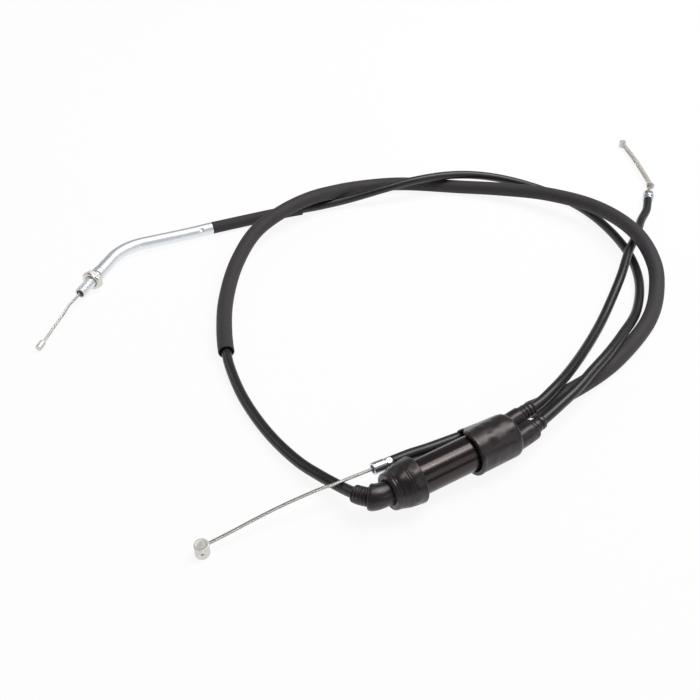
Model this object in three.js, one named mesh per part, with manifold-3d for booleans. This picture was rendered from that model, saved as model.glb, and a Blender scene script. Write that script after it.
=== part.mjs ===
// A two-stroke throttle cable set: one pull cable from the twist grip feeds a
// splitter, from which one cable runs to the carburettor and one to the oil pump.
// Millimetres, +Z up, the splitter's axis along X, everything lying on z = 0.

import * as THREE from 'three';
import { mergeVertices } from 'three/addons/utils/BufferGeometryUtils.js';
import Module from 'manifold-3d';

const wasm = await Module();
wasm.setup();

// Clearances
const fitGap = 0.3;
const runningGap = 0.4;
const anchorGap = 0.25;
const cutOver = 1;

// Cable
const sheathRadius = 2.5;
const wireRadius = 0.8;
const linerRadius = 1.2;
const sleevePlay = 0.9;
const sleeveWall = 0.7;
const tightSleevePlay = 0.45;
const tightSleeveWall = 0.55;
const sleeveBoreRadius = sheathRadius + sleevePlay;
const sleeveRadius = sleeveBoreRadius + sleeveWall;
const tightSleeveBoreRadius = sheathRadius + tightSleevePlay;
const tightSleeveRadius = tightSleeveBoreRadius + tightSleeveWall;
const sheathSeatRadius = sheathRadius + fitGap;
const wireHoleRadius = wireRadius + fitGap;

// Splitter body, caps and slider
const collarLeft = -33.3;
const splitterY = -2.1;
const outletSeatWall = 2.4;
const outletSpacing = 2 * sheathSeatRadius + outletSeatWall;
const outletTurn = 19.5;
const anchorRadius = 1.4;
const anchorLength = 3;
const anchorPocketDepth = 7;
const anchorPocketRadius = anchorRadius + anchorGap;
const anchorPocketWall = 0.35;
const sliderLength = 10;
const sliderRadius = outletSpacing / 2 + anchorPocketRadius + anchorPocketWall;
const bodyWall = 1.5;
const bodyBoreRadius = sliderRadius + runningGap;
const bodyRadius = bodyBoreRadius + bodyWall;
const bodyLength = 48.4;
const coverBoreRadius = bodyRadius + fitGap;
const capFlangeLength = 3;
const inletPlugLength = 9;
const outletPlugLength = 13;
const outletSeatDepth = 2.2;
const inletSeatDepth = 6;

// Rubber collar at the inlet
const collarLength = 16.1;
const collarWall = 2.3;
const collarRadius = coverBoreRadius + collarWall;
const collarLeftWall = 0.4;
const collarLeftRadius = coverBoreRadius + collarLeftWall;
const collarEndWall = 2.2;
const collarShoulder = 1.6;
const collarTaperLength = 0.8;
const collarTaperDepth = 0.5;
const collarGrooveDepth = 0.35;
const collarGrooveWidth = 0.9;
const collarGrooveFirstShare = 0.35;
const collarGrooveSecondShare = 0.65;

// Bent neck and its ribbed strain relief
const neckFlangeInset = 0.7;
const neckFlangeRadius = bodyRadius - neckFlangeInset;
const neckFlangeLength = 2;
const neckRadius = 5.3;
const neckEndRadius = 5.8;
const neckReach = 7.2;
const neckStraightInside = 4.8;
const reliefSpigotRadius = 3.9;
const reliefSpigotLength = 2;
const neckSocketRadius = reliefSpigotRadius + fitGap;
const neckSocketDepth = reliefSpigotLength + fitGap;
const reliefLength = 6.4;
const reliefTipRadius = 4.2;
const reliefRibDepth = 0.35;
const reliefRibPitch = 1.6;

// Rubber boot at the outlets
const bootLength = 21.6;
const bootRimWall = 1.7;
const bootFaceWall = 1.9;
const bootRimRadius = coverBoreRadius + bootRimWall;
const bootFaceRadius = coverBoreRadius + bootFaceWall;
const bootLip = 0.5;
const bootLipLength = 1.6;
const bootEndWall = 5.7;
const bootShoulder = 2.6;
const bootBulgeWall = 0.9;
const bootBulgeFrom = 8;
const outletReliefWall = 0.65;
const outletReliefRadius = sheathSeatRadius + outletReliefWall;
const outletReliefLength = 6.2;
const farReliefLength = 10.9;
const outletRibDepth = 0.4;
const outletRibPitch = 3;
const stubSpread = 0.15;
const stubRadius = outletSpacing - outletReliefRadius + stubSpread;
const stubLength = 11;
const stubRound = 0.8;
const farStubRadius = 3.9;
const farStubLength = 4.6;

// Steel elbow at the carburettor end
const elbowRadius = 3.5;
const elbowBoreRadius = 2.1;
const elbowBoreDepth = 4;
const elbowStraight = 42;
const elbowBendRadius = 30;
const elbowBendAngle = 45;
const elbowHeading = 175.7;
const elbowHeight = 6.1;
const elbowTail = 13.2;
const threadLength = 17.3;
const threadRadius = 3;
const threadPitch = 1;
const threadDepth = 0.45;
const elbowRingRadius = 3.8;
const elbowRingLength = 3.2;
const dimpleRadius = 1.4;
const dimpleDepth = 0.4;
const dimpleTurn = -50;
const dimpleFromEnd = 7.3;
const nutAcrossFlats = 10;
const nutThickness = 3.8;
const nutFromRing = 2.3;
const nutChamfer = 0.7;

// End ferrules and nipples
const throttleEnd = [-21, 11.55, 10.3];
const throttleHeading = 176;
const ferruleFrontLength = 5.6;
const ferruleFrontRadius = 2.8;
const ferruleGrooveLength = 0.8;
const ferruleGrooveRadius = 2.3;
const ferruleCollarLength = 2.8;
const ferruleCollarRadius = 2.7;
const ferruleMouthRadius = 1.9;
const ferruleMouthDepth = 1.6;
const throttleNippleRadius = 3.1;
const throttleNippleHeight = 6;
const throttleWireShare = 0.75;
const carbNippleRadius = 1.7;
const carbNippleLength = 4.6;
const pumpEnd = [240.6, 116.2, 3.4];
const pumpHeading = 42;
const pumpFerruleRadius = 3.3;
const pumpFerruleLength = 9;
const pumpFerruleRim = 0.6;
const pumpNippleRadius = 2.1;
const pumpNippleHeight = 4.2;
const tubeWall = 0.3;
const tubeBoreRadius = 1.2;
const tubeRadius = tubeBoreRadius + tubeWall;
const beadRadius = 2.4;
const beadLength = 1.2;
const beadFromFerrule = 9.4;
const beadGap = 0.4;
const beadWall = 0.4;
const tubeFromFerrule = beadFromFerrule + beadLength + beadGap;
const nippleHoleDepth = 1.6;
const nippleRound = 0.4;
const tubeStraight = 2.6;
const tubeFromWireEnd = nippleHoleDepth + fitGap;
const beadOffset = beadRadius - wireHoleRadius - beadWall;

// Hidden straight ends of the wires inside their bores
const throttleWireHidden = 8.8;
const carbWireHidden = 13;
const pumpWireHidden = 8.6;
const inletWireReach = 17.5;
const outletWireReach = 17;

// Fineness of the round shapes
const bodySides = 36;
const sheathSides = 8;
const sleeveSides = 8;
const wireSides = 8;
const hexSides = 6;
const perPoint = 3;
const smallSides = 16;
const turnedStep = 4;
const curveDivisions = 2000;
const weldDistance = 1e-4;
const ribRootShare = 0.3;
const ribCrestShare = 0.45;
const coarseStep = 10;
const fineStep = 3;
const roundSteps = 4;
const curvePoints = 8;
const neckSides = 20;
const elbowSides = 12;
const wireStep = 4;
const threadCrestShare = 0.5;
const channelRun = 3;

// Stations along the splitter
const axisZ = collarRadius;
const neckFlangeX = collarLeft + collarEndWall + fitGap;
const inletCapX = neckFlangeX + neckFlangeLength + fitGap;
const inletPlugX = inletCapX + capFlangeLength;
const inletSeatX = inletCapX + inletSeatDepth;
const bodyX = inletPlugX + fitGap;
const bodyEndX = bodyX + bodyLength;
const outletFlangeX = bodyEndX + fitGap;
const outletFaceX = outletFlangeX + capFlangeLength;
const outletPlugX = outletFlangeX - outletPlugLength;
const outletSeatX = outletFaceX - outletSeatDepth;
const bootFaceX = outletFaceX + fitGap + bootEndWall;
const bootRimX = bootFaceX - bootLength;
const sliderX = (inletPlugX + inletPlugLength + outletPlugX - sliderLength) / 2;
const sliderEndX = sliderX + sliderLength;
const plugRadius = bodyBoreRadius - fitGap;
const outletY = outletSpacing / 2 * Math.cos(THREE.MathUtils.degToRad(outletTurn));
const outletZ = outletSpacing / 2 * Math.sin(THREE.MathUtils.degToRad(outletTurn));
const nearOutlet = [splitterY - outletY, axisZ - outletZ];
const farOutlet = [splitterY + outletY, axisZ + outletZ];

// Place of the outlet face for which the cables were laid, and how far the loop follows it
const outletHome = [26.5, splitterY, axisZ];
const loopReach = 100;

// Moves hand-laid points along X with the outlet end, less and less further away.
function following(points) {
  return points.map(([x, y, z]) => {
    const away = Math.hypot(x - outletHome[0], y - outletHome[1], z - outletHome[2]);
    const share = THREE.MathUtils.smoothstep(away, 0, loopReach);
    return [x + (outletFaceX - outletHome[0]) * (1 - share), y, z];
  });
}

// Cable routes, settled by hand as the set lies in one loose loop
const throttleRoute = [
  [inletSeatX - fitGap, splitterY, axisZ],
  [collarLeft + neckStraightInside, splitterY, axisZ],
  [collarLeft, splitterY, axisZ], [-38.4, -0.9, 10.3], [-41.9, 2.5, 9.9],
  [-43.9, 7.6, 8.5], [-45.1, 12.3, 7], [-46.7, 17.4, 6.1], [-49.1, 24.5, 5.3], [-52.5, 37.1, 3.9],
  [-55.3, 59.6, 2.7], [-54.9, 86.5, 2.7], [-51.3, 108.6, 3.2], [-48.6, 118.6, 4.25],
  [-41.4, 136.8, 4.3], [-29.6, 159.6, 4.4], [-10.5, 185.2, 6.6], [10.3, 202.4, 10.4],
  [32.6, 211.3, 12.2], [53.8, 215.8, 12.3], [73.8, 218.8, 9.6], [97.3, 221.4, 4.8],
  [118.6, 213, 4.4], [149.2, 189.8, 4.4], [166.7, 171.4, 6.6], [183.7, 146.1, 10.4],
  [194.8, 115.4, 13.2], [191.1, 79.6, 15.4], [183.1, 57.4, 10.6], [172.5, 44.2, 5.6],
  ...following([
    [151.7, 29.1, 4.3], [118.4, 15.7, 4.25], [97.9, 11, 4.25], [72.3, 8.8, 4.3],
    [50, 9.2, 4.9], [32.5, 9.2, 6.3], [10, 9.1, 9.3],
  ]),
  [-4, 9.7, 10.3], [-12.4, 10.95, 10.3], throttleEnd,
];
const carbRoute = [
  [outletSeatX + fitGap, ...nearOutlet],
  [outletFaceX, ...nearOutlet],
  ...following([
    [31, -5.8, 9.3], [41.5, -4.8, 9.9], [52.4, -2.7, 10.7], [62.5, -0.4, 11.5], [75.5, 3, 12.2],
    [90.4, 8.5, 12.2], [106.8, 14.6, 11.6], [125.7, 23.5, 9], [152.4, 38.5, 3.9],
  ]),
  [174.8, 58.8, 2.7], [189.8, 83, 2.7], [198.8, 114.5, 2.7], [199.6, 136.7, 2.7],
  [193.7, 159, 3.2], [179.7, 177.4, 6], [163.7, 188.4, 9], [144.9, 195.6, 11.3],
  [121.3, 200.6, 12.1], [102.3, 205.9, 9.4], [80.8, 212.8, 5.2], [61.5, 217.5, 3.7],
  [39.2, 222.3, 3.7], [14.8, 226.3, 3.65], [-6, 229.3, 3.65],
];
const pumpRoute = [
  [outletSeatX + fitGap, ...farOutlet],
  [outletFaceX, ...farOutlet],
  ...following([
    [31, 2, 12.1], [38, 2.8, 12.2], [45, 3.7, 12.3], [53.4, 4.6, 12.4], [68.8, 9.5, 11.8],
    [84.7, 16.6, 9.4], [108.2, 29, 5.4], [130.3, 41.6, 3.6], [147.8, 52.3, 4.8],
  ]),
  [164.3, 62.9, 7.2], [182.9, 76.3, 8.7], [191.9, 82, 7.9], [205, 90.6, 5.4],
  [219.3, 101.2, 3.8], [231.6, 108.6, 3.4], pumpEnd,
];
const tightSleeveStart = [50, 220.1, 3.7];
const sleeveStart = [-48.2, 120.4, 4.2];
const [sleeveEnd] = following([[60, 9.1, 4.6]]);

// Paths of the bare wires beyond their straight ends
const throttleWirePath = [
  [-52.8, 14.1, 10.3], [-63.5, 15.6, 9], [-73.5, 16.6, 7.7], [-83.4, 17.1, 6.5],
  [-95.1, 17.2, 5.3], [-106, 17.3, throttleNippleHeight * throttleWireShare],
];
const throttleWireStraight = 20;
const carbWireStraight = 11.6;
const carbWirePath = [
  [-108.3, 191, 5.6], [-114, 185.9, 4.7], [-119.6, 181, 3.5], [-124.9, 176.8, 2.3],
];
const pumpWirePath = [
  [264.6, 143.6, 3.1], [269.2, 151.6, 2.8], [273.4, 159.4, 2.6], [279.2, 171.6, 2.4],
  [283.2, 180.8, pumpNippleHeight / 2],
];

// Colours, roughness and metalness of the materials
const finishes = {
  sheath: { color: 0x2b2a2b, roughness: 0.45, metalness: 0 },
  sleeve: { color: 0x474249, roughness: 0.7, metalness: 0 },
  rubber: { color: 0x3a3533, roughness: 0.6, metalness: 0 },
  zinc: { color: 0xc3c6cc, roughness: 0.3, metalness: 1 },
  nickel: { color: 0xb9b7b0, roughness: 0.25, metalness: 1 },
  cast: { color: 0x9c9a96, roughness: 0.55, metalness: 0.9 },
  steelWire: { color: 0x8d8b88, roughness: 0.4, metalness: 1 },
  milky: { color: 0xdfe3e3, roughness: 0.35, metalness: 0 },
  blackPlastic: { color: 0x34302f, roughness: 0.5, metalness: 0 },
  acetal: { color: 0xd8d4c8, roughness: 0.4, metalness: 0 },
  brass: { color: 0xb08d4f, roughness: 0.35, metalness: 1 },
};

// Turns a geometry into an indexed one whose faces look outwards.
function facingOut(source) {
  const geometry = source.clone();
  geometry.deleteAttribute('normal');
  geometry.deleteAttribute('uv');
  const merged = mergeVertices(geometry, weldDistance);
  const corners = merged.getIndex().array;
  const at = merged.getAttribute('position');
  const kept = [];
  let volume = 0;
  const a = new THREE.Vector3();
  const b = new THREE.Vector3();
  const c = new THREE.Vector3();
  for (let i = 0; i < corners.length; i += perPoint) {
    const [p, q, r] = [corners[i], corners[i + 1], corners[i + 2]];
    if (p === q || q === r || r === p) continue;
    kept.push(p, q, r);
    a.fromBufferAttribute(at, p);
    b.fromBufferAttribute(at, q);
    c.fromBufferAttribute(at, r);
    volume += a.dot(b.cross(c));
  }
  if (volume < 0) kept.reverse();
  merged.setIndex(kept);
  return merged;
}

// Gives the closed solid of a geometry.
function solidOf(geometry) {
  const closed = facingOut(geometry);
  return new wasm.Manifold(new wasm.Mesh({
    numProp: perPoint,
    vertProperties: new Float32Array(closed.getAttribute('position').array),
    triVerts: new Uint32Array(closed.getIndex().array),
  }));
}

// Gives the geometry of a closed solid.
function geometryOf(solid) {
  const mesh = solid.getMesh();
  const geometry = new THREE.BufferGeometry();
  geometry.setAttribute('position', new THREE.BufferAttribute(mesh.vertProperties, perPoint));
  geometry.setIndex(new THREE.BufferAttribute(mesh.triVerts, 1));
  return geometry;
}

// Takes the tools away from the stock.
function cut(stock, ...tools) {
  let solid = solidOf(stock);
  for (const tool of tools) solid = solid.subtract(solidOf(tool));
  return geometryOf(solid);
}

// Joins two geometries that run into each other.
function join(first, second) {
  return geometryOf(solidOf(first).add(solidOf(second)));
}

// Keeps what two geometries share.
function common(first, second) {
  return geometryOf(solidOf(first).intersect(solidOf(second)));
}

// Makes a named mesh with a material of its own.
function mesh(name, geometry, finish) {
  const made = new THREE.Mesh(facingOut(geometry), new THREE.MeshStandardMaterial(finish));
  made.name = name;
  return made;
}

// Turns a profile of [distance along X, radius] pairs about the X axis.
function turned(profile, sides) {
  const points = profile.map(([along, radius]) => new THREE.Vector2(radius, along));
  return new THREE.LatheGeometry(points, sides).rotateZ(-Math.PI / 2);
}

// Turns a solid rod between two distances along X.
function rod(from, to, radius, sides) {
  return turned([[from, 0], [from, radius], [to, radius], [to, 0]], sides);
}

// Turns a ring: the outside profile, closed by a straight bore.
function ring(outside, bore, sides) {
  const first = outside[0];
  const last = outside[outside.length - 1];
  return turned([[first[0], bore], ...outside, [last[0], bore], [first[0], bore]], sides);
}

// Moves a shape made about the X axis to the splitter's axis or a line beside it.
function onLine(geometry, [y, z]) {
  return geometry.translate(0, y, z);
}

const splitterLine = [splitterY, axisZ];

// A smooth curve through a list of points.
function smooth(points) {
  const places = points.map((point) => new THREE.Vector3(...point));
  const curve = new THREE.CatmullRomCurve3(places, false, 'centripetal');
  curve.arcLengthDivisions = curveDivisions;
  return curve;
}

// Distance along a curve at which it passes nearest to a point.
function distanceTo(curve, point) {
  const target = new THREE.Vector3(...point);
  const length = curve.getLength();
  let best = 0;
  let nearest = Infinity;
  for (let i = 0; i <= curveDivisions; i += 1) {
    const gap = curve.getPointAt(i / curveDivisions).distanceTo(target);
    if (gap < nearest) {
      nearest = gap;
      best = length * i / curveDivisions;
    }
  }
  return best;
}

// The stretch of a curve between two distances along it.
function stretch(curve, from, to, count) {
  const length = curve.getLength();
  const points = [];
  for (let i = 0; i <= count; i += 1) {
    const along = from + (to - from) * i / count;
    points.push(curve.getPointAt(THREE.MathUtils.clamp(along / length, 0, 1)).toArray());
  }
  return smooth(points);
}

// A regular polygon of a given radius about the origin.
function polygon(radius, sides) {
  const points = [];
  for (let i = 0; i < sides; i += 1) {
    const angle = 2 * Math.PI * i / sides;
    points.push(new THREE.Vector2(radius * Math.cos(angle), radius * Math.sin(angle)));
  }
  return points;
}

// Sweeps a round section, solid or hollow, along a curve.
function swept(curve, radius, bore, steps, sides) {
  const shape = new THREE.Shape(polygon(radius, sides));
  if (bore > 0) shape.holes.push(new THREE.Path(polygon(bore, sides)));
  return new THREE.ExtrudeGeometry(shape, { steps, extrudePath: curve, bevelEnabled: false });
}

// Bends a shape made about the X axis along a curve, from a distance along it.
function bent(geometry, curve, from) {
  const length = curve.getLength();
  const at = geometry.getAttribute('position');
  const side = new THREE.Vector3();
  const up = new THREE.Vector3();
  for (let i = 0; i < at.count; i += 1) {
    const along = THREE.MathUtils.clamp((from + at.getX(i)) / length, 0, 1);
    const centre = curve.getPointAt(along);
    const ahead = curve.getTangentAt(along);
    side.set(-ahead.y, ahead.x, 0).normalize();
    up.crossVectors(ahead, side);
    centre.addScaledVector(side, at.getY(i)).addScaledVector(up, at.getZ(i));
    at.setXYZ(i, centre.x, centre.y, centre.z);
  }
  return geometry;
}

// Adds points to a profile so that no straight stretch is longer than a step.
function refined(profile, step) {
  const fine = [profile[0]];
  for (let i = 1; i < profile.length; i += 1) {
    const [fromX, fromR] = profile[i - 1];
    const [toX, toR] = profile[i];
    const count = Math.max(1, Math.ceil(Math.abs(toX - fromX) / step));
    for (let j = 1; j <= count; j += 1) {
      fine.push([fromX + (toX - fromX) * j / count, fromR + (toR - fromR) * j / count]);
    }
  }
  return fine;
}

// Outside profile of a ribbed tube whose crest radius runs from one value to another.
function ribs(from, length, firstRadius, lastRadius, depth, pitch) {
  const count = Math.max(1, Math.floor(length / pitch));
  const width = length / count;
  const profile = [];
  for (let i = 0; i < count; i += 1) {
    const crest = firstRadius + (lastRadius - firstRadius) * (i + 1) / count;
    const start = from + width * i;
    profile.push([start, crest - depth], [start + width * ribRootShare, crest - depth]);
    profile.push([start + width * ribCrestShare, crest], [start + width, crest]);
  }
  return profile;
}

// Direction in the floor plane at an angle from +X, in degrees.
function heading(degrees) {
  const angle = THREE.MathUtils.degToRad(degrees);
  return new THREE.Vector3(Math.cos(angle), Math.sin(angle), 0);
}

// Point at a distance from a place along a direction.
function ahead(place, direction, distance) {
  return new THREE.Vector3(...place).addScaledVector(direction, distance).toArray();
}

// Places a shape made about the X axis at a point, looking along a heading.
function looking(geometry, degrees, place) {
  return geometry.rotateZ(THREE.MathUtils.degToRad(degrees)).translate(...place);
}

// Curves that the cables follow
const throttleCurve = smooth(throttleRoute);
const carbCurve = smooth(carbRoute);
const pumpCurve = smooth(pumpRoute);

// Distances along the cables from their seats in the splitter
const inletSeat = inletSeatX - fitGap;
const outletSeat = outletSeatX + fitGap;
const neckFrom = inletSeat - neckFlangeX - neckFlangeLength;
const neckTo = inletSeat - collarLeft + neckReach;
const reliefFrom = neckTo - reliefSpigotLength;
const reliefTo = neckTo + reliefLength;
const stubTo = bootFaceX + stubLength - outletSeat;
const nearReliefFrom = stubTo + fitGap;
const nearReliefTo = nearReliefFrom + outletReliefLength;
const farStubTo = bootFaceX + farStubLength - outletSeat;
const farReliefFrom = farStubTo + fitGap;
const farReliefTo = farReliefFrom + farReliefLength;
const sleeveFrom = distanceTo(throttleCurve, sleeveStart);
const sleeveTo = distanceTo(throttleCurve, sleeveEnd);
const bootFaceAt = distanceTo(throttleCurve, passingPlace(bootFaceX).toArray());
const tightSleeveFrom = distanceTo(carbCurve, tightSleeveStart);

// The three free ends
const elbowStart = carbRoute[carbRoute.length - 1];
const elbowCurve = elbowPath();
const elbowBend = elbowBendRadius * THREE.MathUtils.degToRad(elbowBendAngle);
const elbowTurned = elbowHeading + elbowBendAngle;
const elbowAxis = heading(elbowTurned);
const elbowRingFrom = elbowStraight + elbowBend + elbowTail;
const elbowThreadFrom = elbowRingFrom + elbowRingLength;
const elbowMouthAt = elbowThreadFrom + threadLength;
const elbowMouth = elbowCurve.getPointAt(1).toArray();
const throttleAxis = heading(throttleHeading);
const throttleFerruleLength = ferruleFrontLength + ferruleGrooveLength + ferruleCollarLength;
const throttleMouth = ahead(throttleEnd, throttleAxis, throttleFerruleLength + fitGap);
const pumpAxis = heading(pumpHeading);
const pumpMouth = ahead(pumpEnd, pumpAxis, pumpFerruleLength + fitGap);

// Path of the elbow: a straight, a bend in the floor plane and a straight thread,
// rising gently until the thread's corners clear the floor.
function elbowPath() {
  const rise = elbowHeight - elbowStart[2];
  const bendTo = elbowStraight + elbowBendRadius * THREE.MathUtils.degToRad(elbowBendAngle);
  const end = bendTo + elbowTail + elbowRingLength + threadLength;
  const count = Math.round(end / turnedStep);
  const points = [];
  const place = new THREE.Vector3(...elbowStart);
  let before = 0;
  for (let i = 0; i <= count; i += 1) {
    const along = end * i / count;
    const middle = (along + before) / 2;
    const share = THREE.MathUtils.clamp((middle - elbowStraight) / (bendTo - elbowStraight), 0, 1);
    place.addScaledVector(heading(elbowHeading + elbowBendAngle * share), along - before);
    place.z = elbowStart[2] + rise * THREE.MathUtils.smoothstep(along, 0, bendTo);
    points.push(place.toArray());
    before = along;
  }
  return smooth(points);
}

// Rounded end of a profile: a quarter circle from a smaller to the full radius.
function roundedEnd(at, radius, depth, direction) {
  const points = [];
  for (let i = 0; i <= roundSteps; i += 1) {
    const angle = Math.PI / 2 * i / roundSteps;
    points.push([at + direction * depth * (1 - Math.sin(angle)), radius - depth * (1 - Math.cos(angle))]);
  }
  return points.reverse();
}

// Rubber collar that covers the inlet cap and the end of the body.
function inletBoot() {
  const right = collarLeft + collarLength;
  const cone = collarLength - collarTaperLength - collarShoulder;
  const radiusAt = (at) => THREE.MathUtils.lerp(
    collarLeftRadius, collarRadius, (at - collarShoulder) / cone,
  );
  const groove = (at) => [
    [collarLeft + at, radiusAt(at)],
    [collarLeft + at + collarGrooveWidth / 2, radiusAt(at) - collarGrooveDepth],
    [collarLeft + at + collarGrooveWidth, radiusAt(at + collarGrooveWidth)],
  ];
  const cavityX = collarLeft + collarEndWall;
  const holeRadius = neckRadius + fitGap;
  const profile = [
    [collarLeft, holeRadius],
    ...roundedEnd(collarLeft, collarLeftRadius, collarShoulder, 1).reverse(),
    ...groove(collarLength * collarGrooveFirstShare),
    ...groove(collarLength * collarGrooveSecondShare),
    [right - collarTaperLength, collarRadius],
    [right, collarRadius - collarTaperDepth],
    [right, coverBoreRadius],
    [cavityX, coverBoreRadius],
    [cavityX, holeRadius],
    [collarLeft, holeRadius],
  ];
  return onLine(turned(profile, bodySides), splitterLine);
}

// Rubber neck: a flange held inside the collar and a shank that bends away.
function inletGuide() {
  const length = neckTo - neckFrom;
  const profile = [
    [0, sheathSeatRadius],
    [0, neckFlangeRadius],
    [neckFlangeLength, neckFlangeRadius],
    [neckFlangeLength, neckRadius],
    [length - neckReach, neckRadius],
    [length, neckEndRadius],
    [length, neckSocketRadius],
    [length - neckSocketDepth, neckSocketRadius],
    [length - neckSocketDepth, sheathSeatRadius],
    [0, sheathSeatRadius],
  ];
  return bent(turned(refined(profile, fineStep), neckSides), throttleCurve, neckFrom);
}

// Ribbed strain relief of the pull cable, its root held in the neck.
function inletRelief() {
  const outside = [
    [0, reliefSpigotRadius],
    [reliefSpigotLength, reliefSpigotRadius],
    ...ribs(
      reliefSpigotLength, reliefLength, reliefSpigotRadius, reliefTipRadius,
      reliefRibDepth, reliefRibPitch,
    ),
  ];
  const end = outside[outside.length - 1];
  const profile = [[0, sheathSeatRadius], ...outside, [end[0], sheathSeatRadius], [0, sheathSeatRadius]];
  return bent(turned(refined(profile, fineStep), smallSides), throttleCurve, reliefFrom);
}

// Plain tube that holds the slider.
function splitterBody() {
  const tube = ring([[bodyX, bodyRadius], [bodyEndX, bodyRadius]], bodyBoreRadius, bodySides);
  return onLine(tube, splitterLine);
}

// Cap of the inlet end, with the seat of the pull cable's sheath.
function inletCap() {
  const end = inletPlugX + inletPlugLength;
  const profile = [
    [inletCapX, sheathSeatRadius],
    [inletCapX, bodyRadius],
    [inletPlugX, bodyRadius],
    [inletPlugX, plugRadius],
    [end, plugRadius],
    [end, linerRadius],
    [inletSeatX, linerRadius],
    [inletSeatX, sheathSeatRadius],
    [inletCapX, sheathSeatRadius],
  ];
  return onLine(turned(profile, bodySides), splitterLine);
}

// Cap of the outlet end, with a sheath seat and a wire bore for each branch.
function outletCap() {
  const profile = [
    [outletPlugX, 0],
    [outletPlugX, plugRadius],
    [outletFlangeX, plugRadius],
    [outletFlangeX, bodyRadius],
    [outletFaceX, bodyRadius],
    [outletFaceX, 0],
  ];
  const seat = rod(outletSeatX, outletFaceX + cutOver, sheathSeatRadius, smallSides);
  const bore = rod(outletPlugX - cutOver, outletFaceX, linerRadius, smallSides);
  return cut(
    onLine(turned(profile, bodySides), splitterLine),
    onLine(seat.clone(), nearOutlet),
    onLine(seat, farOutlet),
    onLine(bore.clone(), nearOutlet),
    onLine(bore, farOutlet),
  );
}

// Slider that carries all three wire ends in pockets.
function slider() {
  const stock = rod(sliderX, sliderEndX, sliderRadius, bodySides);
  const inletPocketX = sliderEndX - anchorPocketDepth;
  const outletPocketX = sliderX + anchorPocketDepth;
  const inletPocket = rod(inletPocketX, sliderEndX + cutOver, anchorPocketRadius, smallSides);
  const outletPocket = rod(sliderX - cutOver, outletPocketX, anchorPocketRadius, smallSides);
  const hole = rod(sliderX - cutOver, sliderEndX + cutOver, wireHoleRadius, smallSides);
  return cut(
    onLine(stock, splitterLine),
    onLine(inletPocket, splitterLine),
    onLine(outletPocket.clone(), nearOutlet),
    onLine(outletPocket, farOutlet),
    onLine(hole.clone(), splitterLine),
    onLine(hole.clone(), nearOutlet),
    onLine(hole, farOutlet),
  );
}

// Small soldered nipple of a wire end inside the slider.
function anchor(from, line) {
  return onLine(rod(from, from + anchorLength, anchorRadius, smallSides), line);
}

// Straight wire inside the splitter.
function innerWire(from, to, line) {
  return onLine(rod(from, to, wireRadius, wireSides), line);
}

// Place at which the pull cable's sheath passes a station beside the splitter.
function passingPlace(x) {
  const length = throttleCurve.getLength();
  let low = sleeveTo / length;
  let high = 1;
  while (high - low > weldDistance * weldDistance) {
    const middle = (low + high) / 2;
    if (throttleCurve.getPointAt(middle).x > x) low = middle;
    else high = middle;
  }
  return throttleCurve.getPointAt(high);
}

// Outside of the outlet boot: a round hood stretched over the passing sheath.
function bootShell() {
  const run = bootLength - bootShoulder;
  const stations = [[0, bootLip], [bootLipLength, bootLip], [bootLipLength + fitGap, 0]];
  stations.push([bootBulgeFrom, 0], [bootBulgeFrom + fitGap, 0]);
  for (let i = 1; i <= roundSteps; i += 1) {
    stations.push([bootBulgeFrom + (run - bootBulgeFrom) * i / roundSteps, 0]);
  }
  for (let i = 1; i <= roundSteps; i += 1) {
    const angle = Math.PI / 2 * i / roundSteps;
    stations.push([run + bootShoulder * Math.sin(angle), -bootShoulder * (1 - Math.cos(angle))]);
  }
  const rings = stations.length;
  const profile = [new THREE.Vector2(0, 0)];
  for (let i = 0; i < rings; i += 1) profile.push(new THREE.Vector2(bootRimRadius, i));
  profile.push(new THREE.Vector2(0, rings - 1));
  const shell = new THREE.LatheGeometry(profile, bodySides);
  const at = shell.getAttribute('position');
  for (let turn = 0; turn <= bodySides; turn += 1) {
    const angle = 2 * Math.PI * turn / bodySides;
    const outward = new THREE.Vector2(Math.cos(angle), Math.sin(angle));
    for (let i = 0; i < profile.length; i += 1) {
      const station = stations[THREE.MathUtils.clamp(i - 1, 0, rings - 1)];
      const middle = i === 0 || i === profile.length - 1;
      const [y, z] = middle ? splitterLine : bootOutline(station, outward);
      at.setXYZ(turn * profile.length + i, bootRimX + station[0], y, z);
    }
  }
  return shell;
}

// Point of the boot's outline in one direction: the hull of hood and sheath circle.
function bootOutline([along, growth], outward) {
  const share = along / bootLength;
  const hood = THREE.MathUtils.lerp(bootRimRadius, bootFaceRadius, share) + growth;
  const bulge = sheathSeatRadius + bootBulgeWall + growth;
  const pass = passingPlace(bootRimX + along);
  const offset = new THREE.Vector2(pass.y - splitterY, pass.z - axisZ);
  const reach = along > bootBulgeFrom ? offset.dot(outward) + bulge : 0;
  const centre = reach > hood ? offset : new THREE.Vector2();
  const radius = Math.max(reach > hood ? bulge : hood, 0);
  return [splitterY + centre.x + outward.x * radius, axisZ + centre.y + outward.y * radius];
}

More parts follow.
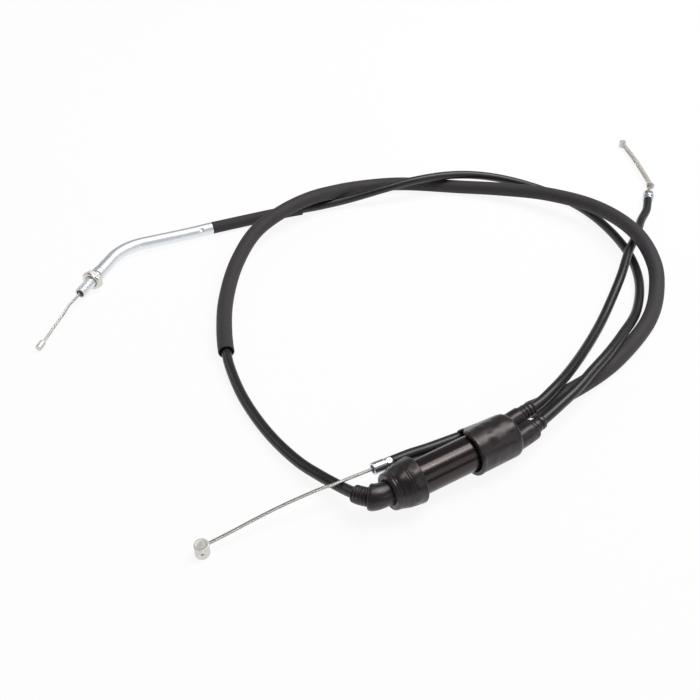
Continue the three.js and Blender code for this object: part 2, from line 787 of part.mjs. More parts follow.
// Rubber boot over the outlet end, with the near outlet's stub.
function outletBoot() {
  const root = bootFaceX - bootEndWall / 2;
  const stubFrom = root - outletSeat;
  const stubEnd = stubTo - stubFrom;
  const stubProfile = [
    [0, 0],
    [0, stubRadius],
    ...roundedEnd(stubEnd, stubRadius, stubRound, -1),
    [stubEnd, 0],
  ];
  const stub = bent(turned(refined(stubProfile, fineStep), smallSides), carbCurve, stubFrom);
  const farStub = bent(rod(0, farStubTo - stubFrom, farStubRadius, smallSides), pumpCurve, stubFrom);
  const cavity = rod(bootRimX - cutOver, outletFaceX + fitGap, coverBoreRadius, bodySides);
  const boreFrom = outletFaceX - outletSeat;
  const nearBore = stretch(carbCurve, boreFrom, stubTo + cutOver, curvePoints);
  const farBore = stretch(pumpCurve, boreFrom, farReliefFrom + cutOver, curvePoints);
  const channelEnd = distanceTo(throttleCurve, passingPlace(bootRimX - cutOver).toArray());
  const channel = stretch(throttleCurve, bootFaceAt - channelRun, channelEnd, curvePoints);
  return cut(
    join(join(bootShell(), stub), farStub),
    onLine(cavity, splitterLine),
    swept(nearBore, sheathSeatRadius, 0, curvePoints, smallSides),
    swept(farBore, sheathSeatRadius, 0, curvePoints, smallSides),
    swept(channel, sheathSeatRadius, 0, curvePoints, smallSides),
  );
}

// Ribbed strain relief of a branch.
function outletRelief(curve, from, length) {
  const outside = ribs(0, length, outletReliefRadius, outletReliefRadius, outletRibDepth, outletRibPitch);
  return bent(ring(outside, sheathSeatRadius, smallSides), curve, from);
}

// Stretch of a cable's sheath, with a bore for the wire where the wire runs in it.
function sheath(curve, from, to, bore, step) {
  const steps = Math.ceil((to - from) / step);
  return swept(stretch(curve, from, to, steps), sheathRadius, bore, steps, sheathSides);
}

// Loose or tight outer sleeve over a stretch of cable.
function outerSleeve(curve, from, to, radius, bore) {
  const steps = Math.ceil((to - from) / coarseStep);
  return swept(stretch(curve, from, to, steps), radius, bore, steps, sleeveSides);
}

// Crimped ferrule of the pull cable, hollow at its mouth.
function throttleFerrule() {
  const grooveTo = ferruleCollarLength + ferruleGrooveLength;
  const end = grooveTo + ferruleFrontLength;
  const profile = [
    [0, linerRadius],
    [0, ferruleCollarRadius],
    [ferruleCollarLength, ferruleCollarRadius],
    [ferruleCollarLength, ferruleGrooveRadius],
    [grooveTo, ferruleGrooveRadius],
    [grooveTo, ferruleFrontRadius],
    [end, ferruleFrontRadius],
    [end, ferruleMouthRadius],
    [end - ferruleMouthDepth, ferruleMouthRadius],
    [end - ferruleMouthDepth, linerRadius],
    [0, linerRadius],
  ];
  const back = ahead(throttleEnd, throttleAxis, fitGap);
  return looking(turned(profile, smallSides), throttleHeading, back);
}

// Cup-shaped ferrule of the pump cable.
function pumpFerrule() {
  const profile = [
    [0, linerRadius],
    [0, pumpFerruleRadius],
    [pumpFerruleLength - pumpFerruleRim, pumpFerruleRadius],
    [pumpFerruleLength, pumpFerruleRadius - pumpFerruleRim],
    [pumpFerruleLength, ferruleMouthRadius],
    [pumpFerruleLength - ferruleMouthDepth, ferruleMouthRadius],
    [pumpFerruleLength - ferruleMouthDepth, linerRadius],
    [0, linerRadius],
  ];
  return looking(turned(profile, smallSides), pumpHeading, ahead(pumpEnd, pumpAxis, fitGap));
}

// Bent steel tube that screws into the carburettor top.
function carbElbow() {
  const thread = [];
  const count = Math.floor(threadLength / threadPitch);
  for (let i = 0; i < count; i += 1) {
    thread.push([elbowThreadFrom + threadPitch * i, threadRadius - threadDepth]);
    thread.push([elbowThreadFrom + threadPitch * (i + threadCrestShare), threadRadius]);
  }
  const profile = [
    [0, linerRadius],
    [0, elbowRadius],
    [elbowRingFrom, elbowRadius],
    [elbowRingFrom, elbowRingRadius],
    [elbowThreadFrom, elbowRingRadius],
    ...thread,
    [elbowMouthAt, threadRadius - threadDepth],
    [elbowMouthAt, elbowBoreRadius],
    [elbowMouthAt - elbowBoreDepth, elbowBoreRadius],
    [elbowMouthAt - elbowBoreDepth, linerRadius],
    [0, linerRadius],
  ];
  const scale = elbowCurve.getLength() / elbowMouthAt;
  const tube = turned(refined(profile, turnedStep), elbowSides).scale(scale, 1, 1);
  const dimple = new THREE.SphereGeometry(dimpleRadius, wireSides, wireSides);
  dimple.translate(0, 0, elbowRadius + dimpleRadius - dimpleDepth);
  dimple.rotateX(THREE.MathUtils.degToRad(dimpleTurn)).translate(dimpleFromEnd, 0, 0);
  return cut(bent(tube, elbowCurve, 0), bent(dimple, elbowCurve, 0));
}

// Hexagonal lock nut on the elbow's thread.
function lockNut() {
  const corner = nutAcrossFlats / 2 / Math.cos(Math.PI / hexSides);
  const prism = new THREE.CylinderGeometry(corner, corner, nutThickness, hexSides);
  prism.rotateZ(-Math.PI / 2).translate(nutThickness / 2, 0, 0);
  const chamfered = turned([
    [0, 0],
    [0, corner - nutChamfer],
    [nutChamfer / 2, corner],
    [nutThickness - nutChamfer / 2, corner],
    [nutThickness, corner - nutChamfer],
    [nutThickness, 0],
  ], smallSides);
  const bore = rod(-cutOver, nutThickness + cutOver, threadRadius + fitGap, smallSides);
  const nut = cut(common(prism, chamfered), bore);
  return looking(nut, elbowTurned, nutPlace());
}

// Place of the lock nut's inner face on the thread.
function nutPlace() {
  return ahead(elbowMouth, elbowAxis, nutFromRing - threadLength);
}

// Wire that leaves a straight bore and then follows a path to its nipple.
function bareWire(mouth, direction, hidden, straight, path) {
  const points = [
    ahead(mouth, direction, -hidden),
    ahead(mouth, direction, -hidden / 2),
    mouth,
    ahead(mouth, direction, straight / 2),
    ahead(mouth, direction, straight),
    ...path,
  ];
  const curve = smooth(points);
  const steps = Math.ceil(curve.getLength() / wireStep);
  return swept(curve, wireRadius, 0, steps, wireSides);
}

// Direction in which a path arrives at its end.
function arrival(path) {
  const last = new THREE.Vector3(...path[path.length - 1]);
  return last.sub(new THREE.Vector3(...path[path.length - 2])).normalize();
}

// Turned barrel with rounded edges that stands on the floor round the end of a wire.
function standingBarrel(radius, height, path) {
  const [x, y] = ahead(path[path.length - 1], arrival(path), radius - nippleHoleDepth);
  const barrel = turned([
    [0, 0],
    [0, radius - nippleRound],
    [nippleRound, radius],
    [height - nippleRound, radius],
    [height, radius - nippleRound],
    [height, 0],
  ], smallSides);
  return barrel.rotateY(-Math.PI / 2).translate(x, y, 0);
}

// Blind hole that takes the end of a wire.
function wireSocket(path) {
  const direction = arrival(path);
  const hole = rod(-cutOver - nippleHoleDepth, fitGap, wireHoleRadius, smallSides);
  const turnTo = new THREE.Quaternion().setFromUnitVectors(new THREE.Vector3(1, 0, 0), direction);
  return hole.applyQuaternion(turnTo).translate(...path[path.length - 1]);
}

// Barrel nipple of the pull cable, for the twist grip.
function throttleNipple() {
  const barrel = standingBarrel(throttleNippleRadius, throttleNippleHeight, throttleWirePath);
  return cut(barrel, wireSocket(throttleWirePath));
}

// Small nipple of the carburettor wire, in line with the wire.
function carbNipple() {
  const barrel = rod(-nippleHoleDepth, carbNippleLength - nippleHoleDepth, carbNippleRadius, smallSides);
  const direction = arrival(carbWirePath);
  const turnTo = new THREE.Quaternion().setFromUnitVectors(new THREE.Vector3(1, 0, 0), direction);
  barrel.applyQuaternion(turnTo).translate(...carbWirePath[carbWirePath.length - 1]);
  return cut(barrel, wireSocket(carbWirePath));
}

// Small barrel nipple of the pump wire.
function pumpNipple() {
  const barrel = standingBarrel(pumpNippleRadius, pumpNippleHeight, pumpWirePath);
  return cut(barrel, wireSocket(pumpWirePath));
}

// Milky tube over the pump wire, from its flared end to the nipple.
function pumpWireTube() {
  const points = [
    ahead(pumpMouth, pumpAxis, tubeFromFerrule),
    ahead(pumpMouth, pumpAxis, tubeFromFerrule + tubeStraight),
    ...pumpWirePath,
  ];
  const curve = smooth(points);
  const length = curve.getLength() - tubeFromWireEnd;
  const steps = Math.ceil(length / wireStep);
  return swept(stretch(curve, 0, length, steps), tubeRadius, tubeBoreRadius, steps, wireSides);
}

// Translucent bead on the bare pump wire, with its hole to one side.
function pumpBead() {
  const stock = rod(0, beadLength, beadRadius, smallSides).translate(0, -beadOffset, 0);
  const bore = rod(-cutOver, beadLength + cutOver, wireHoleRadius, smallSides);
  return looking(cut(stock, bore), pumpHeading, ahead(pumpMouth, pumpAxis, beadFromFerrule));
}

// Ends of the anchors and wires inside the splitter
const inletAnchorX = sliderEndX - anchorPocketDepth + anchorGap;
const inletWireFrom = sliderX - inletWireReach;
const inletWireTo = inletAnchorX - fitGap;
const outletAnchorX = sliderX + anchorPocketDepth - anchorGap - anchorLength;
const outletWireFrom = outletAnchorX + anchorLength + fitGap;
const outletWireTo = sliderEndX + outletWireReach;

// Stretches of the three cables
const throttleTo = throttleCurve.getLength();
const carbTo = carbCurve.getLength() - fitGap;
const pumpTo = pumpCurve.getLength();
const throttleEntry = sheath(throttleCurve, 0, reliefTo, linerRadius, fineStep);
const throttleMiddle = sheath(throttleCurve, reliefTo + fitGap, bootFaceAt - fitGap, 0, coarseStep);
const throttleLast = sheath(throttleCurve, bootFaceAt, throttleTo, linerRadius, fineStep);
const looseSleeve = outerSleeve(throttleCurve, sleeveFrom, sleeveTo, sleeveRadius, sleeveBoreRadius);
const carbRoot = sheath(carbCurve, 0, nearReliefTo, linerRadius, fineStep);
const carbMiddle = sheath(carbCurve, nearReliefTo + fitGap, carbTo, 0, coarseStep);
const tightSleeve = outerSleeve(
  carbCurve, tightSleeveFrom, carbTo, tightSleeveRadius, tightSleeveBoreRadius,
);
const pumpRoot = sheath(pumpCurve, 0, farReliefTo, linerRadius, fineStep);
const pumpMiddle = sheath(pumpCurve, farReliefTo + fitGap, pumpTo, linerRadius, coarseStep);
const throttleBare = bareWire(
  throttleMouth, throttleAxis, throttleWireHidden, throttleWireStraight, throttleWirePath,
);
const carbBare = bareWire(elbowMouth, elbowAxis, carbWireHidden, carbWireStraight, carbWirePath);
const pumpBare = bareWire(
  pumpMouth, pumpAxis, pumpWireHidden, tubeFromFerrule + tubeStraight, pumpWirePath,
);

// All pieces, each with its name, shape and finish
const pieces = [
  ['splitter_body', splitterBody(), finishes.blackPlastic],
  ['inlet_cap', inletCap(), finishes.acetal],
  ['outlet_cap', outletCap(), finishes.acetal],
  ['inlet_boot', inletBoot(), finishes.rubber],
  ['inlet_guide', inletGuide(), finishes.rubber],
  ['inlet_relief', inletRelief(), finishes.rubber],
  ['outlet_boot', outletBoot(), finishes.rubber],
  ['carb_relief', outletRelief(carbCurve, nearReliefFrom, outletReliefLength), finishes.rubber],
  ['pump_relief', outletRelief(pumpCurve, farReliefFrom, farReliefLength), finishes.rubber],
  ['slider', slider(), finishes.acetal],
  ['throttle_anchor', anchor(inletAnchorX, splitterLine), finishes.brass],
  ['carb_anchor', anchor(outletAnchorX, nearOutlet), finishes.brass],
  ['pump_anchor', anchor(outletAnchorX, farOutlet), finishes.brass],
  ['throttle_inner_wire', innerWire(inletWireFrom, inletWireTo, splitterLine), finishes.steelWire],
  ['carb_inner_wire', innerWire(outletWireFrom, outletWireTo, nearOutlet), finishes.steelWire],
  ['pump_inner_wire', innerWire(outletWireFrom, outletWireTo, farOutlet), finishes.steelWire],
  ['throttle_sheath_entry', throttleEntry, finishes.sheath],
  ['throttle_sheath', throttleMiddle, finishes.sheath],
  ['throttle_sheath_end', throttleLast, finishes.sheath],
  ['throttle_sleeve', looseSleeve, finishes.sleeve],
  ['throttle_ferrule', throttleFerrule(), finishes.zinc],
  ['throttle_wire', throttleBare, finishes.steelWire],
  ['throttle_nipple', throttleNipple(), finishes.cast],
  ['carb_sheath_root', carbRoot, finishes.sheath],
  ['carb_sheath', carbMiddle, finishes.sheath],
  ['carb_tight_sleeve', tightSleeve, finishes.sleeve],
  ['carb_elbow', carbElbow(), finishes.zinc],
  ['carb_lock_nut', lockNut(), finishes.nickel],
  ['carb_wire', carbBare, finishes.steelWire],
  ['carb_nipple', carbNipple(), finishes.cast],
  ['pump_sheath_root', pumpRoot, finishes.sheath],
  ['pump_sheath', pumpMiddle, finishes.sheath],
  ['pump_ferrule', pumpFerrule(), finishes.zinc],
  ['pump_wire', pumpBare, finishes.steelWire],
  ['pump_wire_tube', pumpWireTube(), finishes.milky],
  ['pump_bead', pumpBead(), finishes.milky],
  ['pump_nipple', pumpNipple(), finishes.cast],
];

const cableSet = new THREE.Group();
for (const [name, geometry, finish] of pieces) cableSet.add(mesh(name, geometry, finish));

export default cableSet;
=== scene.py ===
"""A two-stroke throttle cable set with a splitter, lying in one loose loop.

The pull cable from the twist grip enters the splitter through a rubber neck, and two
branch cables leave it: one ends in a plated elbow that screws into the carburettor, the
other in a cup ferrule at the oil pump. Lengths in the classes are millimetres, and meshes
are made in metres.
"""

import logging
import math
from dataclasses import dataclass, field
from enum import Enum
from typing import Iterable, Protocol

import bmesh
import bpy
import numpy as np
from mathutils import Matrix, Vector
from numpy.typing import NDArray


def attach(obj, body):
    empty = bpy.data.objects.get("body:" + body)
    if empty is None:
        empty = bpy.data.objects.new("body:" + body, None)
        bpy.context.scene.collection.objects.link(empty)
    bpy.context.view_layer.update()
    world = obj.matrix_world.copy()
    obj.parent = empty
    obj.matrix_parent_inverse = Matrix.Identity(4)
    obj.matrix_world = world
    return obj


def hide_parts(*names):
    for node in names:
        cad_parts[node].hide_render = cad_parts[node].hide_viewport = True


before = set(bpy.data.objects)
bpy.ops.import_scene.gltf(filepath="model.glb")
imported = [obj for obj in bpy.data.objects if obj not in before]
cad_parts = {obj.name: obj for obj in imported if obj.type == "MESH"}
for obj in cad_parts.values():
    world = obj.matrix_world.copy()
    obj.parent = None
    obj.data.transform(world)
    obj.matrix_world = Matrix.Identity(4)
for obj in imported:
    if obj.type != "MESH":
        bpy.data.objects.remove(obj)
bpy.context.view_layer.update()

Array = NDArray[np.float64]
Thing = bpy.types.Object
Tree = bpy.types.NodeTree
Socket = bpy.types.NodeSocket
MM = 0.001
WELD = 2e-7

logging.basicConfig(level=logging.INFO, format="%(message)s")
log = logging.getLogger("cable_set")


# Colour and shader nodes


def linear(hex_colour: str) -> tuple[float, float, float, float]:
    """Turns an sRGB hex colour into linear light.

    Args:
        hex_colour: six hex digits.

    Returns:
        Red, green, blue and an alpha of one.
    """
    srgb = np.array([int(hex_colour[i:i + 2], 16) for i in (0, 2, 4)]) / 255
    light = np.where(srgb <= 0.04045, srgb / 12.92, ((srgb + 0.055) / 1.055) ** 2.4)
    return (*map(float, light), 1.0)


def add_node(
    tree: Tree,
    kind: str,
    settings: dict[str | int, object] | None = None,
    links: dict[str | int, Socket] | None = None,
) -> bpy.types.Node:
    """Adds a node with its settings and the links that come into it.

    Args:
        tree: the node tree.
        kind: the node's type name.
        settings: values by property name, or by input name or number.
        links: output sockets by the name or number of the input that they feed.

    Returns:
        The new node.
    """
    node = tree.nodes.new(kind)
    for key, value in (settings or {}).items():
        if isinstance(key, str) and hasattr(node, key):
            setattr(node, key, value)
        else:
            node.inputs[key].default_value = value
    for key, socket in (links or {}).items():
        tree.links.new(socket, node.inputs[key])
    return node


def math_node(tree: Tree, operation: str, *terms: object) -> Socket:
    """Adds one sum.

    Args:
        tree: the node tree.
        operation: its name.
        terms: what it works on, each a number or a socket.

    Returns:
        Its result.
    """
    settings: dict[str | int, object] = {"operation": operation}
    links: dict[str | int, Socket] = {}
    for place, term in enumerate(terms):
        if isinstance(term, Socket):
            links[place] = term
        else:
            settings[place] = term
    return add_node(tree, "ShaderNodeMath", settings, links).outputs[0]


# Finishes


class Follows(Enum):
    """What a finish's pattern is laid out on."""

    SURFACE = "the piece's own unrolled surface"
    SPACE = "the place in the object"


@dataclass(frozen=True)
class Finish:
    """A material with a fine grain, slow mottling and a matching bump.

    The grain is noise of a given size in millimetres that lifts the surface by a given
    depth. The mottling is larger noise that shifts the roughness up and down and blends
    the colour towards a second one.
    """

    name: str
    slot: str
    colour: str
    tint: str
    roughness: float
    metallic: float = 0.0
    ior: float = 1.5
    sheen: float = 0.0
    grain_mm: float = 0.5
    grain_depth_mm: float = 0.01
    mottle_mm: float = 6.0
    mottle: float = 0.06
    stretch: float = 1.0
    shine: str = "ffffff"
    follows: Follows = Follows.SURFACE

    def place(self, tree: Tree) -> Socket:
        """Lays out the pattern, drawn out along the piece.

        Args:
            tree: the node tree.

        Returns:
            Its coordinates in millimetres.
        """
        if self.follows is Follows.SURFACE:
            source = add_node(tree, "ShaderNodeAttribute", {"attribute_name": "laid"})
            start, scale = source.outputs["Vector"], (1.0, 1.0, 1.0 / self.stretch)
        else:
            source = add_node(tree, "ShaderNodeTexCoord")
            start, scale = source.outputs["Object"], (1 / MM, 1 / MM, 1 / MM)
        return add_node(tree, "ShaderNodeMapping", {"Scale": scale}, {"Vector": start}).outputs[0]

    def noise(self, tree: Tree, place: Socket, size_mm: float, detail: float) -> Socket:
        """Adds noise whose blobs are about the given size, and returns its value."""
        settings = {"Scale": 1 / size_mm, "Detail": detail, "Roughness": 0.55}
        return add_node(tree, "ShaderNodeTexNoise", settings, {"Vector": place}).outputs[0]

    def relief(self, tree: Tree, place: Socket) -> Socket:
        """Gives the height of the surface pattern in millimetres."""
        return math_node(
            tree, "MULTIPLY", self.noise(tree, place, self.grain_mm, 3.0), self.grain_depth_mm
        )

    def shade(self, tree: Tree, place: Socket, colour: Socket) -> Socket:
        """Gives the colour; finishes with marks of their own change it here."""
        return colour

    def dress(self, shader: bpy.types.Node) -> None:
        """Sets what a finish has beside the common sockets."""

    def material(self) -> bpy.types.Material:
        """Makes the material, or finds it if a piece already wears it.

        Returns:
            The node material.
        """
        known = bpy.data.materials.get(self.name)
        if known is not None:
            return known
        made = bpy.data.materials.new(self.name)
        made.use_nodes = True
        tree = made.node_tree
        tree.nodes.clear()
        place = self.place(tree)
        mottle = self.noise(tree, place, self.mottle_mm, 2.0)
        blend = add_node(
            tree,
            "ShaderNodeMix",
            {"data_type": "RGBA", 6: linear(self.colour), 7: linear(self.tint)},
            {0: mottle},
        )
        low, high = self.roughness - self.mottle, self.roughness + self.mottle
        rough = add_node(
            tree, "ShaderNodeMapRange", {1: 0.3, 2: 0.7, 3: max(low, 0.03), 4: high}, {0: mottle}
        )
        height = self.relief(tree, place)
        bump = add_node(tree, "ShaderNodeBump", {"Distance": MM}, {"Height": height})
        colour = self.shade(tree, place, blend.outputs[2])
        shader = add_node(
            tree,
            "ShaderNodeBsdfPrincipled",
            {
                "Metallic": self.metallic,
                "IOR": self.ior,
                "Sheen Weight": self.sheen,
                "Specular Tint": linear(self.shine),
            },
            {"Base Color": colour, "Roughness": rough.outputs[0], "Normal": bump.outputs[0]},
        )
        self.dress(shader)
        add_node(tree, "ShaderNodeOutputMaterial", links={"Surface": shader.outputs[0]})
        made.diffuse_color = linear(self.colour)
        made.metallic = self.metallic
        made.roughness = self.roughness
        return made


@dataclass(frozen=True)
class WoundSheath(Finish):
    """Extruded PVC over wound steel: the coils telegraph through as a faint helix."""

    coil_mm: float = 1.7
    coil_depth_mm: float = 0.012

    def relief(self, tree: Tree, place: Socket) -> Socket:
        """Adds a sine helix, one turn for each coil pitch, to the grain.

        Args:
            tree: the node tree.
            place: the pattern's coordinates.

        Returns:
            The height in millimetres.
        """
        grain = super().relief(tree, place)
        parts = add_node(tree, "ShaderNodeSeparateXYZ", links={0: place})
        angle = math_node(tree, "ARCTAN2", parts.outputs[1], parts.outputs[0])
        along = math_node(
            tree, "MULTIPLY", parts.outputs[2], 2 * math.pi * self.stretch / self.coil_mm
        )
        wave = math_node(tree, "SINE", math_node(tree, "ADD", along, angle))
        return math_node(tree, "MULTIPLY_ADD", wave, self.coil_depth_mm / 2, grain)


@dataclass(frozen=True)
class MouldedRubber(Finish):
    """Moulded rubber with the thin flash line where the two mould halves met."""

    flash_width_mm: float = 0.22
    flash_height_mm: float = 0.05
    swell_mm: float = 4.5
    swell_height_mm: float = 0.62

    def relief(self, tree: Tree, place: Socket) -> Socket:
        """Adds slow swells, and a narrow ridge where the parting plane is nearly reached.

        Args:
            tree: the node tree.
            place: the pattern's coordinates.

        Returns:
            The height in millimetres.
        """
        swell = self.noise(tree, place, self.swell_mm, 0.0)
        grain = math_node(
            tree, "MULTIPLY_ADD", swell, self.swell_height_mm, super().relief(tree, place)
        )
        parts = add_node(tree, "ShaderNodeSeparateXYZ", links={0: place})
        across = math_node(tree, "ABSOLUTE", parts.outputs[1])
        ridge = add_node(
            tree,
            "ShaderNodeMapRange",
            {"interpolation_type": "SMOOTHSTEP", 1: self.flash_width_mm, 2: 0.0, 3: 0.0,
             4: self.flash_height_mm},
            {0: across},
        )
        return math_node(tree, "ADD", ridge.outputs[0], grain)


@dataclass(frozen=True)
class TurnedMetal(Finish):
    """Metal off the lathe: fine rings across the piece under its plating."""

    ring_mm: float = 0.3
    ring_depth_mm: float = 0.002

    def relief(self, tree: Tree, place: Socket) -> Socket:
        """Adds noise that changes only along the piece to the grain.

        Args:
            tree: the node tree.
            place: the pattern's coordinates.

        Returns:
            The height in millimetres.
        """
        grain = super().relief(tree, place)
        parts = add_node(tree, "ShaderNodeSeparateXYZ", links={0: place})
        line = add_node(tree, "ShaderNodeCombineXYZ", links={2: parts.outputs[2]})
        rings = self.noise(tree, line.outputs[0], self.ring_mm, 2.0)
        return math_node(tree, "MULTIPLY_ADD", rings, self.ring_depth_mm, grain)


@dataclass(frozen=True)
class StrandedSteel(Finish):
    """Drawn steel strands, with shade painted into the valleys between them."""

    # Colour of the painted shade in the valleys between the strands.
    valley_shade: str = "6a645e"

    def shade(self, tree: Tree, place: Socket, colour: Socket) -> Socket:
        """Paints shade into the valleys, darker by the depth that the mesh carries as an attribute.

        Args:
            tree: the node tree.
            place: not used.
            colour: the colour of the strands' backs.

        Returns:
            The colour.
        """
        depth = add_node(tree, "ShaderNodeAttribute", {"attribute_name": "valley_shade"})
        mix = add_node(
            tree,
            "ShaderNodeMix",
            {"data_type": "RGBA", 7: linear(self.valley_shade)},
            {0: depth.outputs["Fac"], 6: colour},
        )
        return mix.outputs[2]


@dataclass(frozen=True)
class MilkyPlastic(Finish):
    """Thin milky plastic: light passes through it and spreads."""

    clearness: float = 0.35
    spread: float = 0.3
    spread_mm: tuple[float, float, float] = (0.6, 0.6, 0.55)

    def dress(self, shader: bpy.types.Node) -> None:
        """Lets light through and spreads it under the surface.

        Args:
            shader: the material's shader.
        """
        shader.inputs["Transmission Weight"].default_value = self.clearness
        shader.inputs["Subsurface Weight"].default_value = self.spread
        shader.inputs["Subsurface Radius"].default_value = [mm * MM for mm in self.spread_mm]
        shader.inputs["Subsurface Scale"].default_value = 1.0


# Black PVC off the extruder: satin, cool in its highlights, drawn out lengthwise.
SHEATH = WoundSheath(
    "extruded_pvc_sheath", "sheath", "19191b", "212023", 0.38, grain_mm=0.35,
    grain_depth_mm=0.006, mottle_mm=5, mottle=0.05, stretch=6, ior=1.53,
)
# Softer PVC sleeve: matt, a little purple, with the drag marks of its die.
SLEEVE = Finish(
    "matt_pvc_sleeve", "sleeve", "322d31", "3b363a", 0.72, grain_mm=0.4,
    grain_depth_mm=0.02, mottle_mm=7, mottle=0.05, stretch=4, ior=1.48, sheen=0.05,
)
# Injection-moulded rubber: brownish black, a soft bloom over a satin skin.
RUBBER = MouldedRubber(
    "moulded_rubber", "rubber", "1c1819", "251f21", 0.34, grain_mm=0.6,
    grain_depth_mm=0.012, mottle_mm=5, mottle=0.07, ior=1.52, sheen=0.1, shine="fff4f4",
)
# Extruded nylon: glossier than the rubber, so it holds one sharp long highlight.
NYLON = Finish(
    "extruded_nylon", "black_plastic", "181315", "201a1b", 0.2, grain_mm=0.9,
    grain_depth_mm=0.002, mottle_mm=6, mottle=0.04, stretch=8, ior=1.53, shine="fff0ec",
)
# Bright zinc plate on turned steel: bluish white, slightly hazy.
ZINC = TurnedMetal(
    "bright_zinc_plate", "zinc", "e4e8ec", "d5dce4", 0.34, metallic=1.0, grain_mm=0.8,
    grain_depth_mm=0.002, mottle_mm=4, mottle=0.05,
)
# Zinc plate on drawn and bent tube: long draw marks instead of lathe rings.
ZINC_TUBE = Finish(
    "bright_zinc_tube", "zinc", "f4f6f8", "eaeef2", 0.52, metallic=1.0, grain_mm=0.45,
    grain_depth_mm=0.006, mottle_mm=6, mottle=0.05, stretch=10,
)
# Dull nickel on a pressed nut: warmer and greyer than the zinc beside it.
NICKEL = Finish(
    "dull_nickel_plate", "nickel", "e2e0da", "d2cfc8", 0.32, metallic=1.0, grain_mm=0.25,
    grain_depth_mm=0.005, mottle_mm=2.5, mottle=0.06, follows=Follows.SPACE,
)
# Die-cast zinc alloy: pale, matt, with the faint flow skin of the casting.
CAST = Finish(
    "die_cast_zinc", "cast_zinc", "e6e4e0", "d6d2cd", 0.5, metallic=1.0, grain_mm=0.35,
    grain_depth_mm=0.02, mottle_mm=1.6, mottle=0.08, follows=Follows.SPACE,
)
# Drawn and stranded steel wire, with painted shade in the lay between the strands.
WIRE = StrandedSteel(
    "stranded_steel", "steel_wire", "d8d6d2", "c4c1bc", 0.36, metallic=1.0, grain_mm=0.2,
    grain_depth_mm=0.003, mottle_mm=3, mottle=0.06, stretch=6,
)
# The same wire where it is hidden in the splitter.
DRAWN = Finish(
    "drawn_steel", "steel_wire", "b9b6b1", "989590", 0.34, metallic=1.0, grain_mm=0.2,
    grain_depth_mm=0.003, mottle_mm=3, mottle=0.06, follows=Follows.SPACE,
)
# Milky tube of fluoropolymer: waxy, half clear.
MILKY = MilkyPlastic(
    "milky_fluoropolymer", "milky_tube", "e9e4dd", "dcd6ce", 0.34, grain_mm=0.5,
    grain_depth_mm=0.006, mottle_mm=4, mottle=0.04, stretch=5, ior=1.38,
)
# Moulded acetal of the caps and the slider inside: waxy off-white.
ACETAL = Finish(
    "moulded_acetal", "acetal", "d8d4c8", "cfcabd", 0.4, grain_mm=0.4,
    grain_depth_mm=0.006, mottle_mm=4, mottle=0.05, ior=1.48, follows=Follows.SPACE,
)
# Free-turning brass of the small wire anchors.
BRASS = Finish(
    "turned_brass", "brass", "c9a35c", "b08a45", 0.3, metallic=1.0, grain_mm=0.2,
    grain_depth_mm=0.004, mottle_mm=2, mottle=0.05, follows=Follows.SPACE,
)

# Surfaces


class Route:
    """A smooth curve through points, read by the distance along it in millimetres.

    The curve is a centripetal Catmull-Rom spline: between two points it is the cubic
    whose end slopes follow from the square roots of the gaps to the points around them.
    """

    def __init__(self, points: Iterable[Iterable[float]], fineness: int = 48) -> None:
        """Works out the curve.

        Args:
            points: the points that it passes, in millimetres.
            fineness: places worked out between two of them.
        """
        given = np.array([tuple(point) for point in points], dtype=float)
        knots = np.vstack([2 * given[0] - given[1], given, 2 * given[-1] - given[-2]])
        gaps = np.sqrt(np.linalg.norm(np.diff(knots, axis=0), axis=1))[:, None]
        x0, x1, x2, x3 = knots[:-3], knots[1:-2], knots[2:-1], knots[3:]
        d0, d1, d2 = gaps[:-2], gaps[1:-1], gaps[2:]
        leave = ((x1 - x0) / d0 - (x2 - x0) / (d0 + d1) + (x2 - x1) / d1) * d1
        reach = ((x2 - x1) / d1 - (x3 - x1) / (d1 + d2) + (x3 - x2) / d2) * d1
        s = np.linspace(0, 1, fineness, endpoint=False)[None, :, None]
        square = 3 * (x2 - x1) - 2 * leave - reach
        cube = 2 * (x1 - x2) + leave + reach
        curve = (
            x1[:, None] + leave[:, None] * s + square[:, None] * s ** 2 + cube[:, None] * s ** 3
        )
        self.points: Array = np.vstack([curve.reshape(-1, 3), given[-1:]])
        steps = np.linalg.norm(np.diff(self.points, axis=0), axis=1)
        self.lengths: Array = np.concatenate([[0.0], np.cumsum(steps)])
        self.length = float(self.lengths[-1])

    def on(self, along: Array) -> Array:
        """Gives the places at distances within the curve's length."""
        return np.stack([np.interp(along, self.lengths, axis) for axis in self.points.T], -1)

    def frame(self, along: Array) -> tuple[Array, Array, Array, Array]:
        """Gives places and directions; past the ends the curve runs on straight.

        Args:
            along: distances along the curve.

        Returns:
            Places, and unit vectors ahead, to the level side and up.
        """
        kept = np.clip(along, 0, self.length)
        near, far = np.clip(kept - 0.4, 0, None), np.clip(kept + 0.4, None, self.length)
        ahead = self.on(far) - self.on(near)
        ahead /= np.linalg.norm(ahead, axis=-1, keepdims=True)
        side = np.stack([-ahead[..., 1], ahead[..., 0], np.zeros_like(kept)], -1)
        side /= np.linalg.norm(side, axis=-1, keepdims=True)
        place = self.on(kept) + ahead * (along - kept)[..., None]
        return place, ahead, side, np.cross(ahead, side)

    def nearest(self, point: Iterable[float]) -> float:
        """Gives the distance along the curve at which it passes nearest to a point."""
        gaps = np.linalg.norm(self.points - np.array(tuple(point)), axis=1)
        return float(self.lengths[int(np.argmin(gaps))])

    def path(self, step: float, start: float = 0.0, end: float | None = None) -> Array:
        """Gives distances along the curve about a step apart, both ends included."""
        last = self.length if end is None else end
        return np.linspace(start, last, max(2, math.ceil((last - start) / step) + 1))


def straight(place: Iterable[float], direction: Iterable[float], length: float) -> Route:
    """Makes the straight route from a place in a direction."""
    start, way = np.array(tuple(place)), np.array(tuple(direction))
    return Route([start, start + way / np.linalg.norm(way) * length])


